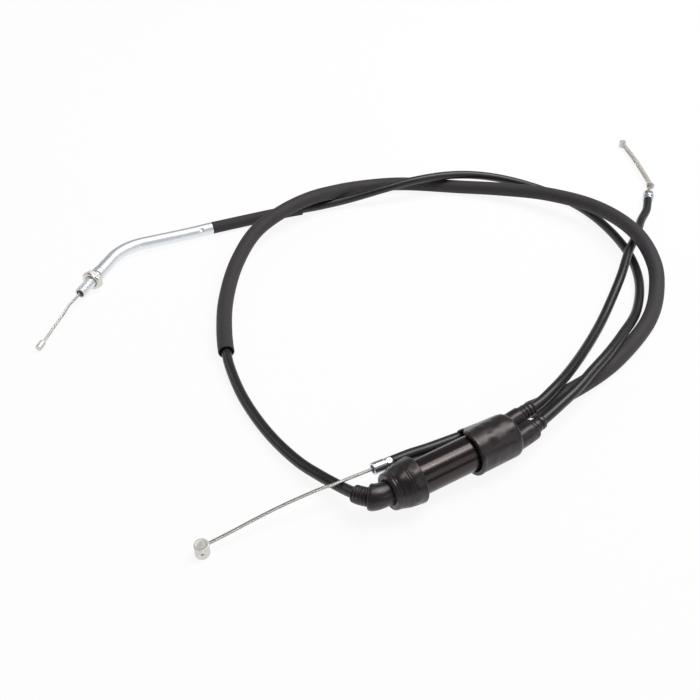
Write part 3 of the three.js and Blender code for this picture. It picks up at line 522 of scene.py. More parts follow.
@dataclass
class Skin:
    """A grid of points whose rows go round; it ends in poles or closes on itself.

    Attributes:
        points: rows by columns by three, in metres.
        laid: the same grid straightened out, in millimetres, for the patterns.
        hoop: whether the last row joins the first.
        valley_shade: how deep each point lies between strands, from nought to one, which sets how
            dark the painted shade is there.
    """

    points: Array
    laid: Array
    hoop: bool = False
    valley_shade: Array | None = None


def lay(*corners: tuple[float, ...], steps: int = 5, closed: bool = True) -> Array:
    """Makes a profile of distance and radius with its corners rounded.

    A corner is replaced by the parabola that leaves both its sides at the corner's
    rounding, or at 45% of the shorter side where that is less.

    Args:
        corners: distance, radius and rounding of each corner.
        steps: points on a rounding.
        closed: whether the profile closes on itself.

    Returns:
        Points by two; a closed profile doesn't repeat its first point.
    """
    given = np.array([(*corner, 0.0)[:3] for corner in corners], dtype=float)
    at, rounding = given[:, :2], given[:, 2].copy()
    before, after = np.roll(at, 1, axis=0) - at, np.roll(at, -1, axis=0) - at
    sizes = np.linalg.norm([before, after], axis=2)
    if not closed:
        rounding[[0, -1]] = 0
    cut = np.minimum(rounding, 0.45 * sizes.min(axis=0))[:, None]
    sizes = np.maximum(sizes, 1e-9)
    start = at + before / sizes[0][:, None] * cut
    end = at + after / sizes[1][:, None] * cut
    s = np.linspace(0, 1, steps)[None, :, None]
    curve = (1 - s) ** 2 * start[:, None] + 2 * s * (1 - s) * at[:, None] + s ** 2 * end[:, None]
    flat = curve.reshape(-1, 2)
    moved = np.linalg.norm(flat - np.roll(flat, 1, axis=0), axis=1) > 1e-9
    moved[0] = moved[0] or not closed
    return flat[moved]


def split(profile: Array, step: float, closed: bool = True) -> Array:
    """Adds points to a profile so that no side is longer than a step.

    Args:
        profile: points of distance and radius.
        step: greatest distance between two points.
        closed: whether the profile closes on itself.

    Returns:
        The finer profile.
    """
    ends = np.vstack([profile, profile[:1]]) if closed else profile
    sides = np.diff(ends, axis=0)
    counts = np.maximum(1, np.ceil(np.abs(sides).max(axis=1) / step).astype(int))
    first = np.repeat(np.cumsum(counts) - counts, counts)
    share = (np.arange(counts.sum()) - first) / np.repeat(counts, counts)
    fine = np.repeat(ends[:-1], counts, axis=0) + share[:, None] * np.repeat(sides, counts, axis=0)
    return fine if closed else np.vstack([fine, ends[-1:]])


class Shape(Protocol):
    """A rule that changes a carried profile's radius."""

    def __call__(self, along: Array, turn: Array, radius: Array) -> Array:
        """Gives the radius at distances along and turns in radians."""


def carried(
    route: Route,
    profile: Array,
    sides: int = 48,
    closed: bool = True,
    shape: Shape | None = None,
    twist: float = 0.0,
) -> Skin:
    """Carries a profile round a route.

    Row i stands at the route's place at the profile's distance i. Column j is turned by
    j shares of a full turn, and lies at the profile's radius from that place, along the
    level side vector times the turn's cosine plus the up vector times its sine.

    Args:
        route: the curve.
        profile: points of distance along and radius, in millimetres.
        sides: number of columns.
        closed: whether the profile closes on itself.
        shape: changes the radius by distance and turn.
        twist: full turns of the columns in a millimetre, for laid strands.

    Returns:
        The grid.
    """
    along, radius = profile[:, :1], profile[:, 1:]
    turn = 2 * math.pi * (np.arange(sides) / sides)[None, :] + 2 * math.pi * twist * along
    wide = np.broadcast_to(radius, turn.shape)
    reach = wide if shape is None else shape(np.broadcast_to(along, turn.shape), turn, wide)
    place, _, side, up = route.frame(along[:, 0])
    across, rise = (reach * np.cos(turn))[..., None], (reach * np.sin(turn))[..., None]
    points = place[:, None] + side[:, None] * across + up[:, None] * rise
    flat = np.stack(
        [reach * np.cos(turn), reach * np.sin(turn), np.broadcast_to(along, turn.shape)], -1
    )
    return Skin(points * MM, flat, closed)


def piece(name: str, skin: Skin, finish: Finish, crease: float = 40.0) -> Thing:
    """Makes an object from a closed grid, welds its poles and turns its faces outwards.

    Args:
        name: the object's name.
        skin: its grid.
        finish: its material.
        crease: angle in degrees past which an edge stays sharp.

    Returns:
        The object, linked to the scene.
    """
    rows, columns = skin.points.shape[:2]
    number = np.arange(rows * columns).reshape(rows, columns)
    low = number if skin.hoop else number[:-1]
    high = np.roll(number, -1, axis=0) if skin.hoop else number[1:]
    ring = [low, np.roll(low, -1, axis=1), np.roll(high, -1, axis=1), high]
    corners = np.stack(ring, -1).reshape(-1, 4)
    mesh = bpy.data.meshes.new(name)
    mesh.vertices.add(number.size)
    mesh.vertices.foreach_set("co", skin.points.reshape(-1))
    mesh.loops.add(corners.size)
    mesh.loops.foreach_set("vertex_index", corners.reshape(-1))
    mesh.polygons.add(len(corners))
    mesh.polygons.foreach_set("loop_start", np.arange(0, corners.size, 4))
    laid = mesh.attributes.new("laid", "FLOAT_VECTOR", "POINT")
    laid.data.foreach_set("vector", skin.laid.reshape(-1))
    # Carries the valleys' depth, which sets the painted shade between the strands.
    if skin.valley_shade is not None:
        valley_shade = mesh.attributes.new("valley_shade", "FLOAT", "POINT")
        valley_shade.data.foreach_set("value", skin.valley_shade.reshape(-1))
    mesh.update(calc_edges=True)
    welded = bmesh.new()
    welded.from_mesh(mesh)
    bmesh.ops.remove_doubles(welded, verts=welded.verts, dist=WELD)
    bmesh.ops.recalc_face_normals(welded, faces=welded.faces)
    welded.to_mesh(mesh)
    welded.free()
    smooth(mesh, crease)
    mesh.materials.append(finish.material())
    made = bpy.data.objects.new(name, mesh)
    bpy.context.scene.collection.objects.link(made)
    return made


def smooth(mesh: bpy.types.Mesh, crease: float) -> None:
    """Shades a mesh smooth except at edges sharper than an angle in degrees."""
    mesh.polygons.foreach_set("use_smooth", np.ones(len(mesh.polygons), dtype=bool))
    mesh.set_sharp_from_angle(angle=math.radians(crease))


def carve(made: Thing, *tools: Thing, crease: float = 40.0) -> None:
    """Cuts tools out of a piece and removes them.

    Args:
        made: the piece that is cut.
        tools: closed objects whose room is taken out of it.
        crease: angle in degrees past which an edge stays sharp.
    """
    for tool in tools:
        cutter = made.modifiers.new("cut", "BOOLEAN")
        cutter.object, cutter.operation, cutter.solver = tool, "DIFFERENCE", "EXACT"
    graph = bpy.context.evaluated_depsgraph_get()
    cut = bpy.data.meshes.new_from_object(made.evaluated_get(graph))
    made.modifiers.clear()
    made.data = cut
    smooth(cut, crease)
    for tool in tools:
        bpy.data.objects.remove(tool)


def settle(made: Thing, body: str, finish: Finish, *nodes: str) -> Thing:
    """Places a piece on a body and the CAD nodes that it stands for.

    Args:
        made: the piece.
        body: the body that it moves with.
        finish: not used.
        nodes: the CAD nodes that it replaces.

    Returns:
        The piece.
    """
    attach(made, body)
    if nodes:
        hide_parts(*nodes)
    log.info("%s: %d faces", made.name, len(made.data.polygons))
    return made


def fitted(
    name: str, skin: Skin, finish: Finish, body: str, *nodes: str, crease: float = 40.0
) -> Thing:
    """Makes a piece and settles it on a body in one go."""
    return settle(piece(name, skin, finish, crease), body, finish, *nodes)


def polygon_cap(across_flats: float, turned: float = 0.0) -> Shape:
    """Makes the rule that holds a radius inside a six-sided prism.

    The prism's radius is half the width across flats over the cosine of the angle to the
    middle of the nearest flat.

    Args:
        across_flats: width of the prism in millimetres.
        turned: turn of the middle of the first flat in radians.

    Returns:
        The rule.
    """

    def shape(along: Array, turn: Array, radius: Array) -> Array:
        """Takes the smaller of the radius and the prism's radius."""
        off = (turn - turned + math.pi / 6) % (math.pi / 3) - math.pi / 6
        return np.minimum(radius, across_flats / 2 / np.cos(off))

    return shape


def crimped(across_flats: float, turned: float, middle: float, full: float, fade: float) -> Shape:
    """Makes the rule that presses six flats into a stretch of a ferrule.

    The flats' share is the full value less the fade times the distance from the middle,
    held between nought and one.

    Args:
        across_flats: width across the flats in millimetres.
        turned: turn of the middle of the first flat in degrees.
        middle: distance along at which the stretch has its middle.
        full: share that is reached there before it is held.
        fade: loss of share in a millimetre.

    Returns:
        The rule.
    """
    cap = polygon_cap(across_flats, math.radians(turned))

    def shape(along: Array, turn: Array, radius: Array) -> Array:
        """Moves the radius towards the prism's by the share."""
        pressed = np.clip(full - np.abs(along - middle) * fade, 0, 1)
        return radius + (cap(along, turn, radius) - radius) * pressed

    return shape


def ribbed(start: float, end: float, crest: Array, depth: float, pitch: float) -> Array:
    """Makes the outside of a ribbed stretch.

    The radius is the crest less the depth times the third power of a raised cosine, so
    that the ribs are broad and round and the grooves between them narrow.

    Args:
        start: first distance along.
        end: last distance along.
        crest: crest radius at the first and last distance.
        depth: depth of the grooves.
        pitch: distance from rib to rib.

    Returns:
        Points of distance and radius.
    """
    along = np.linspace(start, end, max(8, int((end - start) / pitch * 14)))
    top = np.interp(along, [start, end], crest)
    wave = 0.5 + 0.5 * np.cos(2 * math.pi * (along - start) / pitch)
    return np.stack([along, top - depth * wave ** 3], -1)


def heading(degrees: float) -> Array:
    """Gives the level direction at an angle from +X."""
    return np.array([math.cos(math.radians(degrees)), math.sin(math.radians(degrees)), 0.0])


# The splitter and its rubber


@dataclass
class Splitter:
    """The tube that holds the slider, its rubber collar, neck, boot and reliefs.

    Attributes:
        axis: Y and Z of the tube's axis.
        left: X of the collar's left end.
        throttle: route of the pull cable, which enters on the left.
        carb: route of the carburettor branch.
        pump: route of the oil pump branch.
        cap_from: X of the inner end of the collar's thin left wall.
        cover_bore: radius of the collar's and the boot's room for the tube.
        hole: radius of the rubber's holes for the sheaths.
        rim: X of the boot's rim.
        face: X of its face, on which the stubs stand.
        sag: shift of the boot along Y.
        bulge_radius: rubber's outside radius round the sheath that passes by the tube.
        bulge_share: how much of the shoulder's fall the bulge takes part in.
        passing_at: Y and Z at which that sheath passes the face.
        way_before: how far before that its way is cut.
        bore_from: distance along the branches at which their ways begin.
        softness: power of the outline; a higher one makes its hollows sharper.
        draw: how far the rim is drawn out over the sheath.
        draw_reach: distance from the rim over which that fades.
        line_start: X at which the tube's axis is measured from.
    """

    throttle: Route
    carb: Route
    pump: Route
    axis: tuple[float, float] = (-2.1, 10.5)
    left: float = -31.9
    collar_length: float = 13.6
    cap_from: float = -31.1
    cap_bore: float = 5.7
    cover_bore: float = 8.2
    tube_from: float = -25.2
    tube_to: float = 23.2
    tube_radius: float = 7.9
    tube_bore: float = 6.4
    hole: float = 2.8
    rim: float = 9.7
    face: float = 32.5
    cavity_end: float = 26.8
    rim_radius: float = 10.1
    face_radius: float = 10.1
    sag: float = -0.2
    bulge_radius: float = 3.15
    bulge_share: float = 0.65
    lip: float = 0.2
    rubber_wall: float = 1.6
    passing_at: tuple[float, float] = (9.2, 6.3)
    way_before: float = 4.0
    way_length: float = 10.5
    bore_from: float = 2.0
    bore_length: float = 30.0
    softness: float = 22.0
    draw: float = 4.0
    draw_reach: float = 13.0
    stub_radius: float = 5.0
    stub_to: float = 18.9
    far_stub_radius: float = 4.1
    far_stub_to: float = 17.3
    outlet_root: float = 5.0
    line_start: float = -60.0
    body: str = "cable_set"

    @property
    def line(self) -> Route:
        """The tube's axis, from the line's start to as far beyond the middle."""
        return straight((self.line_start, *self.axis), (1, 0, 0), -2 * self.line_start)

    def along(self, *corners: tuple[float, ...]) -> Array:
        """Makes a closed profile along the tube's axis from corners given by X."""
        return lay(*corners) - np.array([self.line_start, 0.0])

    def tube(self) -> Thing:
        """Builds the plain tube: a straight ring with broken edges.

        Returns:
            The tube.
        """
        profile = self.along(
            (self.tube_from, self.tube_bore, 0.2), (self.tube_from, self.tube_radius, 0.3),
            (self.tube_to, self.tube_radius, 0.3), (self.tube_to, self.tube_bore, 0.2),
        )
        skin = carried(self.line, split(profile, 2.0), 96)
        return fitted("splitter_tube", skin, NYLON, self.body, "splitter_body")

    def collar(self) -> Thing:
        """Builds the collar: a rounded end, two low rings, a cone, a fine groove, a blunt end.

        Returns:
            The collar.
        """
        cap, end, bore = self.cap_from - self.left, self.collar_length, self.cover_bore
        corners = [
            (0.0, self.cap_bore, 0.3), (0.0, 8.05, 0.7), (0.9, 8.3, 0.3), (1.25, 8.05, 0.2),
            (1.6, 8.35, 0.3), (2.1, 8.45, 0.3), (2.4, 8.3, 0.2), (3.4, 8.75, 2.0),
            (6.4, 9.6, 2.0), (7.15, 9.72, 0.1), (7.35, 9.5, 0.1), (7.55, 9.77, 0.1),
            (8.1, 9.85, 0.1), (8.3, 9.68, 0.1), (8.5, 9.9, 0.1), (end - 1.6, 10.3, 1.0),
            (end - 0.5, 10.45, 0.4), (end, 10.25, 0.5), (end, bore, 0.2), (cap, bore, 0.2),
            (cap, self.cap_bore, 0.2),
        ]
        profile = self.along(*((self.left + x, *rest) for x, *rest in corners))
        skin = carried(self.line, split(profile, 1.5), 96)
        return fitted("inlet_collar", skin, RUBBER, self.body, "inlet_boot")

    def neck(self) -> Thing:
        """Builds the neck: a flange in the collar and a shank that bends away.

        Returns:
            The neck.
        """
        profile = lay(
            (6.0, self.hole), (6.0, 7.2, 0.3), (8.0, 7.2, 0.3), (8.0, 5.3, 0.2),
            (11.7, 5.3, 3.0), (16.7, 5.7, 1.0), (17.7, 5.35, 0.5), (17.7, 4.25, 0.2),
            (15.4, 4.2), (15.4, self.hole),
        )
        skin = carried(self.throttle, split(profile, 0.9), 64)
        return fitted("inlet_neck", skin, RUBBER, self.body, "inlet_guide")

    def relief(
        self, name: str, route: Route, root: float, start: float, end: float,
        crest: tuple[float, float], depth: float, pitch: float, node: str,
    ) -> Thing:
        """Builds a ribbed strain relief round a sheath.

        Args:
            name: the piece's name.
            route: the sheath's route.
            root: where the plain root begins.
            start: where the ribs begin.
            end: where they end.
            crest: first and last crest radius.
            depth: depth of the grooves.
            pitch: distance from rib to rib.
            node: the CAD node that it replaces.

        Returns:
            The relief.
        """
        outside = ribbed(start, end - 0.35, np.array(crest), depth, pitch)
        inner = [(end, crest[1] - 0.5), (end, self.hole), (root, self.hole)]
        plain = [(root, crest[0] - depth)] if root < start else []
        profile = np.vstack([outside, np.array(inner + plain)])
        return fitted(name, carried(route, split(profile, 0.8), 48), RUBBER, self.body, node)

    def pull(self, x: Array) -> Array:
        """Gives how much of the rim's draw a station has: one at the rim, none far in."""
        s = np.clip((x - self.rim) / self.draw_reach, 0, 1)
        return 1 - s * s * (3 - 2 * s)

    def outline(self, x: Array, hood: Array, bulge: Array, columns: int) -> Array:
        """Gives the boot's outline at stations: a skin stretched over tube and sheath.

        The reach in a direction is the p-th root of the summed p-th powers of the hood's
        radius and of the sheath's offset in that direction plus the bulge's radius. The
        point is the reach times the direction plus the reach's slope times the direction
        square to it. The points are then spread evenly round the outline. On the sheath's
        side the rim is drawn along X, by the smooth step of the direction's cosine.

        Args:
            x: the stations.
            hood: radius round the tube at each.
            bulge: radius round the sheath at each.
            columns: points round the outline.

        Returns:
            Stations by columns by three, in millimetres.
        """
        window = self.throttle.on(np.linspace(self.throttle.length - 90, self.throttle.length, 400))
        order = np.argsort(window[:, 0])
        drawn = x + self.draw * self.pull(x)
        passing = np.stack(
            [np.interp(drawn, window[order, 0], window[order, axis]) for axis in (1, 2)], -1
        )
        offset = passing - np.array(self.axis)
        angle = np.linspace(0, 2 * math.pi, 1441) - math.pi / 2
        outward = np.stack([np.cos(angle), np.sin(angle)], -1)
        square = np.stack([-np.sin(angle), np.cos(angle)], -1)
        first = np.broadcast_to(hood[:, None], (len(x), len(angle)))
        second = np.maximum(offset @ outward.T + bulge[:, None], 1e-3)
        power = self.softness
        reach = (first ** power + second ** power) ** (1 / power)
        slope = (second / reach) ** (power - 1) * (offset @ square.T)
        ring = np.array(self.axis) + reach[..., None] * outward + slope[..., None] * square
        steps = np.linalg.norm(np.diff(ring, axis=1), axis=2)
        passed = np.concatenate([np.zeros((len(x), 1)), np.cumsum(steps, axis=1)], axis=1)
        share = passed / passed[:, -1:]
        even = np.arange(columns) / columns
        spread = np.stack([
            np.stack([np.interp(even, share[i], ring[i, :, axis]) for axis in (0, 1)], -1)
            for i in range(len(x))
        ])
        from_axis = spread - np.array(self.axis)
        facing = (from_axis * offset[:, None]).sum(axis=2)
        facing /= np.linalg.norm(from_axis, axis=2) * np.linalg.norm(offset, axis=1)[:, None]
        s = np.clip((facing - 0.35) / 0.55, 0, 1)
        shifted = x[:, None] + self.draw * self.pull(x)[:, None] * s * s * (3 - 2 * s)
        return np.concatenate([shifted[..., None], spread], axis=2)

    def boot(self) -> Thing:
        """Builds the boot, and cuts the three sheaths' ways through it.

        The shell runs from the middle of the face over the rounded shoulder to the rolled
        rim, and back inside to the end of the cavity; each station is an outline. It sags
        sideways by the sag at the rim and by half of that at the face.

        Returns:
            The boot.
        """
        face, rim, lip = self.face, self.rim, self.rim_radius + self.lip
        outer = lay(
            (face, 0.0), (face, self.face_radius, 2.6), (rim + 2.2, self.rim_radius, 0.6),
            (rim + 1.4, lip, 0.6), (rim, lip, 0.6),
            (rim + 0.1, self.rim_radius - self.rubber_wall, 0.5),
            (rim + 2.5, self.cover_bore, 0.8), (self.cavity_end, self.cover_bore, 0.6),
            (self.cavity_end, 0.0), closed=False,
        )
        profile = split(outer, 0.9, closed=False)
        x, radius = profile[:, 0], profile[:, 1]
        at_face, at_end = np.isclose(x, face), np.isclose(x, self.cavity_end)
        brim = np.where(at_face, radius[at_face].max(), radius[at_end].max())
        disc = at_face | at_end
        hood = np.where(disc, brim, radius)
        shrink = np.where(disc, radius / brim, 1.0)[:, None, None]
        plain = np.interp(x, [rim, face], [self.rim_radius, self.face_radius])
        bulge = self.bulge_radius + np.minimum(hood - plain, 0) * self.bulge_share
        grid = self.outline(x, hood, bulge, 128)
        grid[..., 1] += self.sag * (1 - (grid[..., 0] - rim) / (face - rim) * 0.5)
        middle = np.array([0.0, *self.axis])
        centre = np.broadcast_to(middle, grid.shape).copy()
        centre[..., 0] = grid[..., 0]
        grid = centre + (grid - centre) * shrink
        flat = np.roll(grid - middle, -1, axis=2)
        shell = piece("outlet_hood", Skin(grid * MM, flat), RUBBER, 50)
        passing = self.throttle.nearest((face, *self.passing_at)) - self.way_before
        ways = [(self.throttle, passing, self.way_length)]
        ways += [(route, self.bore_from, self.bore_length) for route in (self.carb, self.pump)]
        carve(shell, *(piece("way", self.plug(*way), RUBBER) for way in ways), crease=50)
        return settle(shell, self.body, RUBBER, "outlet_boot")

    def plug(self, route: Route, start: float, length: float) -> Skin:
        """Makes the room that a sheath takes in the rubber: a closed rod round it."""
        hole, end = self.hole, start + length
        rod = lay((start, 0.0), (start, hole), (end, hole), (end, 0.0), closed=False)
        return carried(route, split(rod, 2.0, closed=False), 40, closed=False)

    def stubs(self) -> list[Thing]:
        """Builds the two stubs on the boot's face, the near one long, the far one short.

        Returns:
            Both.
        """
        root = self.outlet_root
        near = lay(
            (root, self.hole), (root, self.stub_radius), (8.2, self.stub_radius, 0.6),
            (17.0, self.stub_radius, 0.3), (17.25, self.stub_radius - 0.15, 0.1),
            (17.5, self.stub_radius, 0.3), (self.stub_to, self.stub_radius - 0.1, 1.0),
            (self.stub_to, self.hole, 0.3),
        )
        far = lay(
            (root, self.hole), (root, self.far_stub_radius),
            (self.far_stub_to, self.far_stub_radius, 0.5), (self.far_stub_to, self.hole, 0.2),
        )
        stubs = {"near_stub": (self.carb, near), "far_stub": (self.pump, far)}
        return [
            fitted(name, carried(route, split(profile, 0.9), 64), RUBBER, self.body)
            for name, (route, profile) in stubs.items()
        ]

    def dress_inside(self) -> None:
        """Dresses the CAD nodes that stay: the caps, the slider and the wire ends."""
        inside = {
            ACETAL: ("inlet_cap", "outlet_cap", "slider"),
            BRASS: ("throttle_anchor", "carb_anchor", "pump_anchor"),
            DRAWN: ("throttle_inner_wire", "carb_inner_wire", "pump_inner_wire"),
        }
        for finish, nodes in inside.items():
            for node in nodes:
                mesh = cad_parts[node].data
                mesh.materials.clear()
                mesh.materials.append(finish.material())
                log.info("%s: dressed as %s", node, finish.name)

    def build(self) -> dict[str, Thing]:
        """Builds every piece of the splitter.

        Returns:
            The strain reliefs by name, for the cords that they belong to.
        """
        self.tube()
        self.collar()
        self.neck()
        self.boot()
        self.stubs()
        self.dress_inside()
        return {
            "inlet": self.relief(
                "inlet_relief_ribs", self.throttle, 15.7, 17.9, 24.1, (4.15, 3.95),
                0.4, 1.24, "inlet_relief",
            ),
            "carb": self.relief(
                "near_relief_ribs", self.carb, 19.2, 19.2, 25.4, (3.45, 3.4), 0.45, 3.1,
                "carb_relief",
            ),
            "pump": self.relief(
                "far_relief_ribs", self.pump, 17.4, 17.4, 25.2, (3.55, 3.4), 0.4, 2.2,
                "pump_relief",
            ),
        }


# The three cables


@dataclass
class Cable:
    """What the three cables share: a sheath, its fittings, and a bare stranded wire.

    Attributes:
        name: the cable's name.
        route: the sheath's route.
        mouth: distance along it at which it leaves the splitter's rubber.
        wire_body: the body that the bare wire moves with.
        sheath_nodes: the CAD nodes of the sheath.
        wire_node: the CAD node of the bare wire.
        bore: radius of the blind bores in which the wires slide.
        liner: inside radius of the fittings at the sheath's end.
        gap: room between the sheath's end and its fitting.
        sunk: how deep the wire's end lies in its nipple.
        slot: radius of the wire's hole in the nipple.
        hidden: straight length of the wire inside its bore.
        plain: its straight length outside.
        path: the points that it passes after that.
    """

    name: str
    route: Route
    mouth: float
    wire_body: str
    sheath_nodes: tuple[str, ...] = ()
    wire_node: str = ""
    sheath_radius: float = 2.5
    sheath_end: float = 0.0
    bore: float = 1.3
    bore_depth: float = 18.0
    liner: float = 1.2
    gap: float = 0.3
    wire_radius: float = 0.72
    lobes: int = 8
    lay_mm: float = 11.0
    valley_depth: float = 0.17
    sunk: float = 1.6
    slot: float = 1.1
    heading: float = 0.0
    nipple_radius: float = 0.0
    nipple_height: float = 0.0
    hidden: float = 0.0
    plain: float = 0.0
    path: list[tuple] = field(default_factory=list)
    body: str = "cable_set"

    def fittings(self) -> tuple[list[Thing], Array, Array]:
        """Builds what sits on the sheath; gives it, the wire's mouth and its way."""
        raise NotImplementedError

    def wire_fittings(self, bare: Route, mouth: Array, way: Array) -> list[Thing]:
        """Builds what sits on the bare wire, given its route, its mouth and its way."""
        raise NotImplementedError

    def sheath(self) -> tuple[Thing, Array]:
        """Builds the sheath: a rod with rounded ends, bored at both for the wires' travel.

        Returns:
            The sheath, and the points that it follows in millimetres.
        """
        end = self.route.length - self.sheath_end
        deep, bore, radius = self.bore_depth, self.bore, self.sheath_radius
        rod = lay(
            (deep, 0.0), (deep, bore), (0.0, bore), (0.0, radius, 0.3), (end, radius, 0.3),
            (end, bore), (end - deep, bore), (end - deep, 0.0), closed=False,
        )
        skin = carried(self.route, split(rod, 1.6, closed=False), 36, closed=False)
        made = fitted(f"{self.name}_casing", skin, SHEATH, self.body, *self.sheath_nodes)
        return made, self.route.on(self.route.path(3.0, 0.0, end))

    def sleeve(
        self, name: str, start: float, end: float, radius: float, bore: float, node: str
    ) -> Thing:
        """Builds an outer sleeve: a ring with cut ends.

        Args:
            name: the piece's name.
            start: first distance along the route.
            end: last distance.
            radius: outside radius.
            bore: inside radius.
            node: the CAD node that it replaces.

        Returns:
            The sleeve.
        """
        edges = [(start, bore, 0.1), (start, radius, 0.2), (end, radius, 0.2), (end, bore, 0.1)]
        profile = lay(*edges)
        return fitted(name, carried(self.route, split(profile, 2.0), 40), SLEEVE, self.body, node)

    def ferrule(
        self, name: str, profile: Array, crimp: Shape, node: str
    ) -> tuple[Thing, Array, Array]:
        """Builds a ferrule on the sheath's end.

        Args:
            name: the piece's name.
            profile: its closed profile, from the sheath's end on.
            crimp: the rule that presses its flats.
            node: the CAD node that it replaces.

        Returns:
            The ferrule, the middle of its mouth, and the way that it points.
        """
        way = heading(self.heading)
        start, end = self.route.points[-1] + way * self.gap, float(profile[:, 0].max())
        skin = carried(straight(start, way, end), split(profile, 0.3), 72, shape=crimp)
        return fitted(name, skin, ZINC, self.body, node, crease=30), start + way * end, way

    def wire(self, route: Route) -> tuple[Thing, Array]:
        """Builds the bare wire: strands drawn coarser than real, so that their lay shows.

        The radius falls from the strands' backs into the valleys by the fourth power of a
        cosine of the turn, and the columns turn with the lay.

        Args:
            route: the wire's route.

        Returns:
            The wire, and the points that it follows in millimetres.
        """
        end, depth = route.length, self.valley_depth
        rod = lay(
            (0.0, 0.0), (0.0, self.wire_radius), (end, self.wire_radius), (end, 0.0), closed=False
        )
        profile = split(rod, 0.7, closed=False)

        def strands(along: Array, turn: Array, radius: Array) -> Array:
            """Lowers the radius by up to a sixth between the strands."""
            phase = turn - 2 * math.pi * along / self.lay_mm
            return radius * (1 - depth * np.cos(phase * self.lobes / 2) ** 4)

        columns, twist = self.lobes * 6, 1 / self.lay_mm
        skin = carried(route, profile, columns, closed=False, shape=strands, twist=twist)
        reach = np.hypot(skin.laid[..., 0], skin.laid[..., 1])
        full = np.maximum(profile[:, 1:], 1e-6)
        # Depth between the strands, which sets the painted shade in the valleys.
        skin.valley_shade = np.clip((1 - reach / full) / depth, 0, 1) ** 1.5 * 0.85
        name = f"{self.name}_strands"
        made = fitted(name, skin, WIRE, self.wire_body, self.wire_node, crease=80)
        return made, route.on(route.path(2.0, 0.0, end))

    def bare_route(self, mouth: Array, way: Array) -> Route:
        """Makes the bare wire's route: straight out of its bore, then along its path."""
        steps = (-self.hidden, -self.hidden / 2, 0.0, self.plain / 2, self.plain)
        return Route([*(mouth + way * step for step in steps), *self.path])

    def standing_nipple(
        self, name: str, bare: Route, edge: float, reach: float, node: str, dot: float | None = None
    ) -> Thing:
        """Builds a barrel that stands on the floor round the wire's end.

        Args:
            name: the piece's name.
            bare: the wire's route.
            edge: rounding of the barrel's edges.
            reach: length of the tool that cuts the wire's hole, before the wire's end.
            node: the CAD node that it replaces.
            dot: the direction, in degrees, in which a small blind hole faces.

        Returns:
            The nipple.
        """
        radius, height = self.nipple_radius, self.nipple_height
        end, way = (value[0] for value in bare.frame(np.array([bare.length]))[:2])
        place = end + way * (radius - self.sunk)
        profile = lay(
            (0.0, 0.0), (0.0, radius, edge), (height, radius, edge),
            (height - 0.15, radius - 1.4, 0.3), (height - 0.1, 0.0), closed=False,
        )
        skin = carried(Upright(place), split(profile, 0.5, closed=False), 64, closed=False)
        made = piece(name, skin, CAST)
        tools = [rod_tool(end - way * reach, way, reach + 0.3, self.slot)]
        if dot is not None:
            facing = heading(dot)
            hole = np.array([*place[:2], 3.4]) + facing * (radius + 1)
            tools.append(rod_tool(hole, -facing, 1.4, 0.6))
        carve(made, *tools, crease=30)
        return settle(made, self.wire_body, CAST, node)

    def build(self, relief: Thing) -> None:
        """Builds the cable: its sheath, its fittings, its bare wire and what sits on the wire.

        Args:
            relief: not used.
        """
        casing, points = self.sheath()
        fittings, mouth, way = self.fittings()
        leaves = self.route.on(np.array([self.mouth]))[0]
        bare = self.bare_route(mouth, way)
        wire, points = self.wire(bare)
        self.wire_fittings(bare, mouth, way)


class Upright(Route):
    """A route straight up from a point of the floor, with X to its side and Y ahead."""

    def __init__(self, place: Array) -> None:
        """Makes it 100 mm tall."""
        super().__init__([(place[0], place[1], 0.0), (place[0], place[1], 100.0)])

    def frame(self, along: Array) -> tuple[Array, Array, Array, Array]:
        """Gives places and directions with the level side along X."""
        place = self.points[0] + np.outer(along, (0.0, 0.0, 1.0))
        ones = np.ones((len(along), 1))
        return place, ones * [0.0, 0, 1], ones * [1.0, 0, 0], ones * [0.0, 1, 0]


def rod_tool(start: Array, way: Array, length: float, radius: float) -> Thing:
    """Makes the closed rod with which a hole is cut."""
    rod = lay((0.0, 0.0), (0.0, radius), (length, radius), (length, 0.0), closed=False)
    return piece("tool", carried(straight(start, way, length), rod, 40, closed=False), CAST)


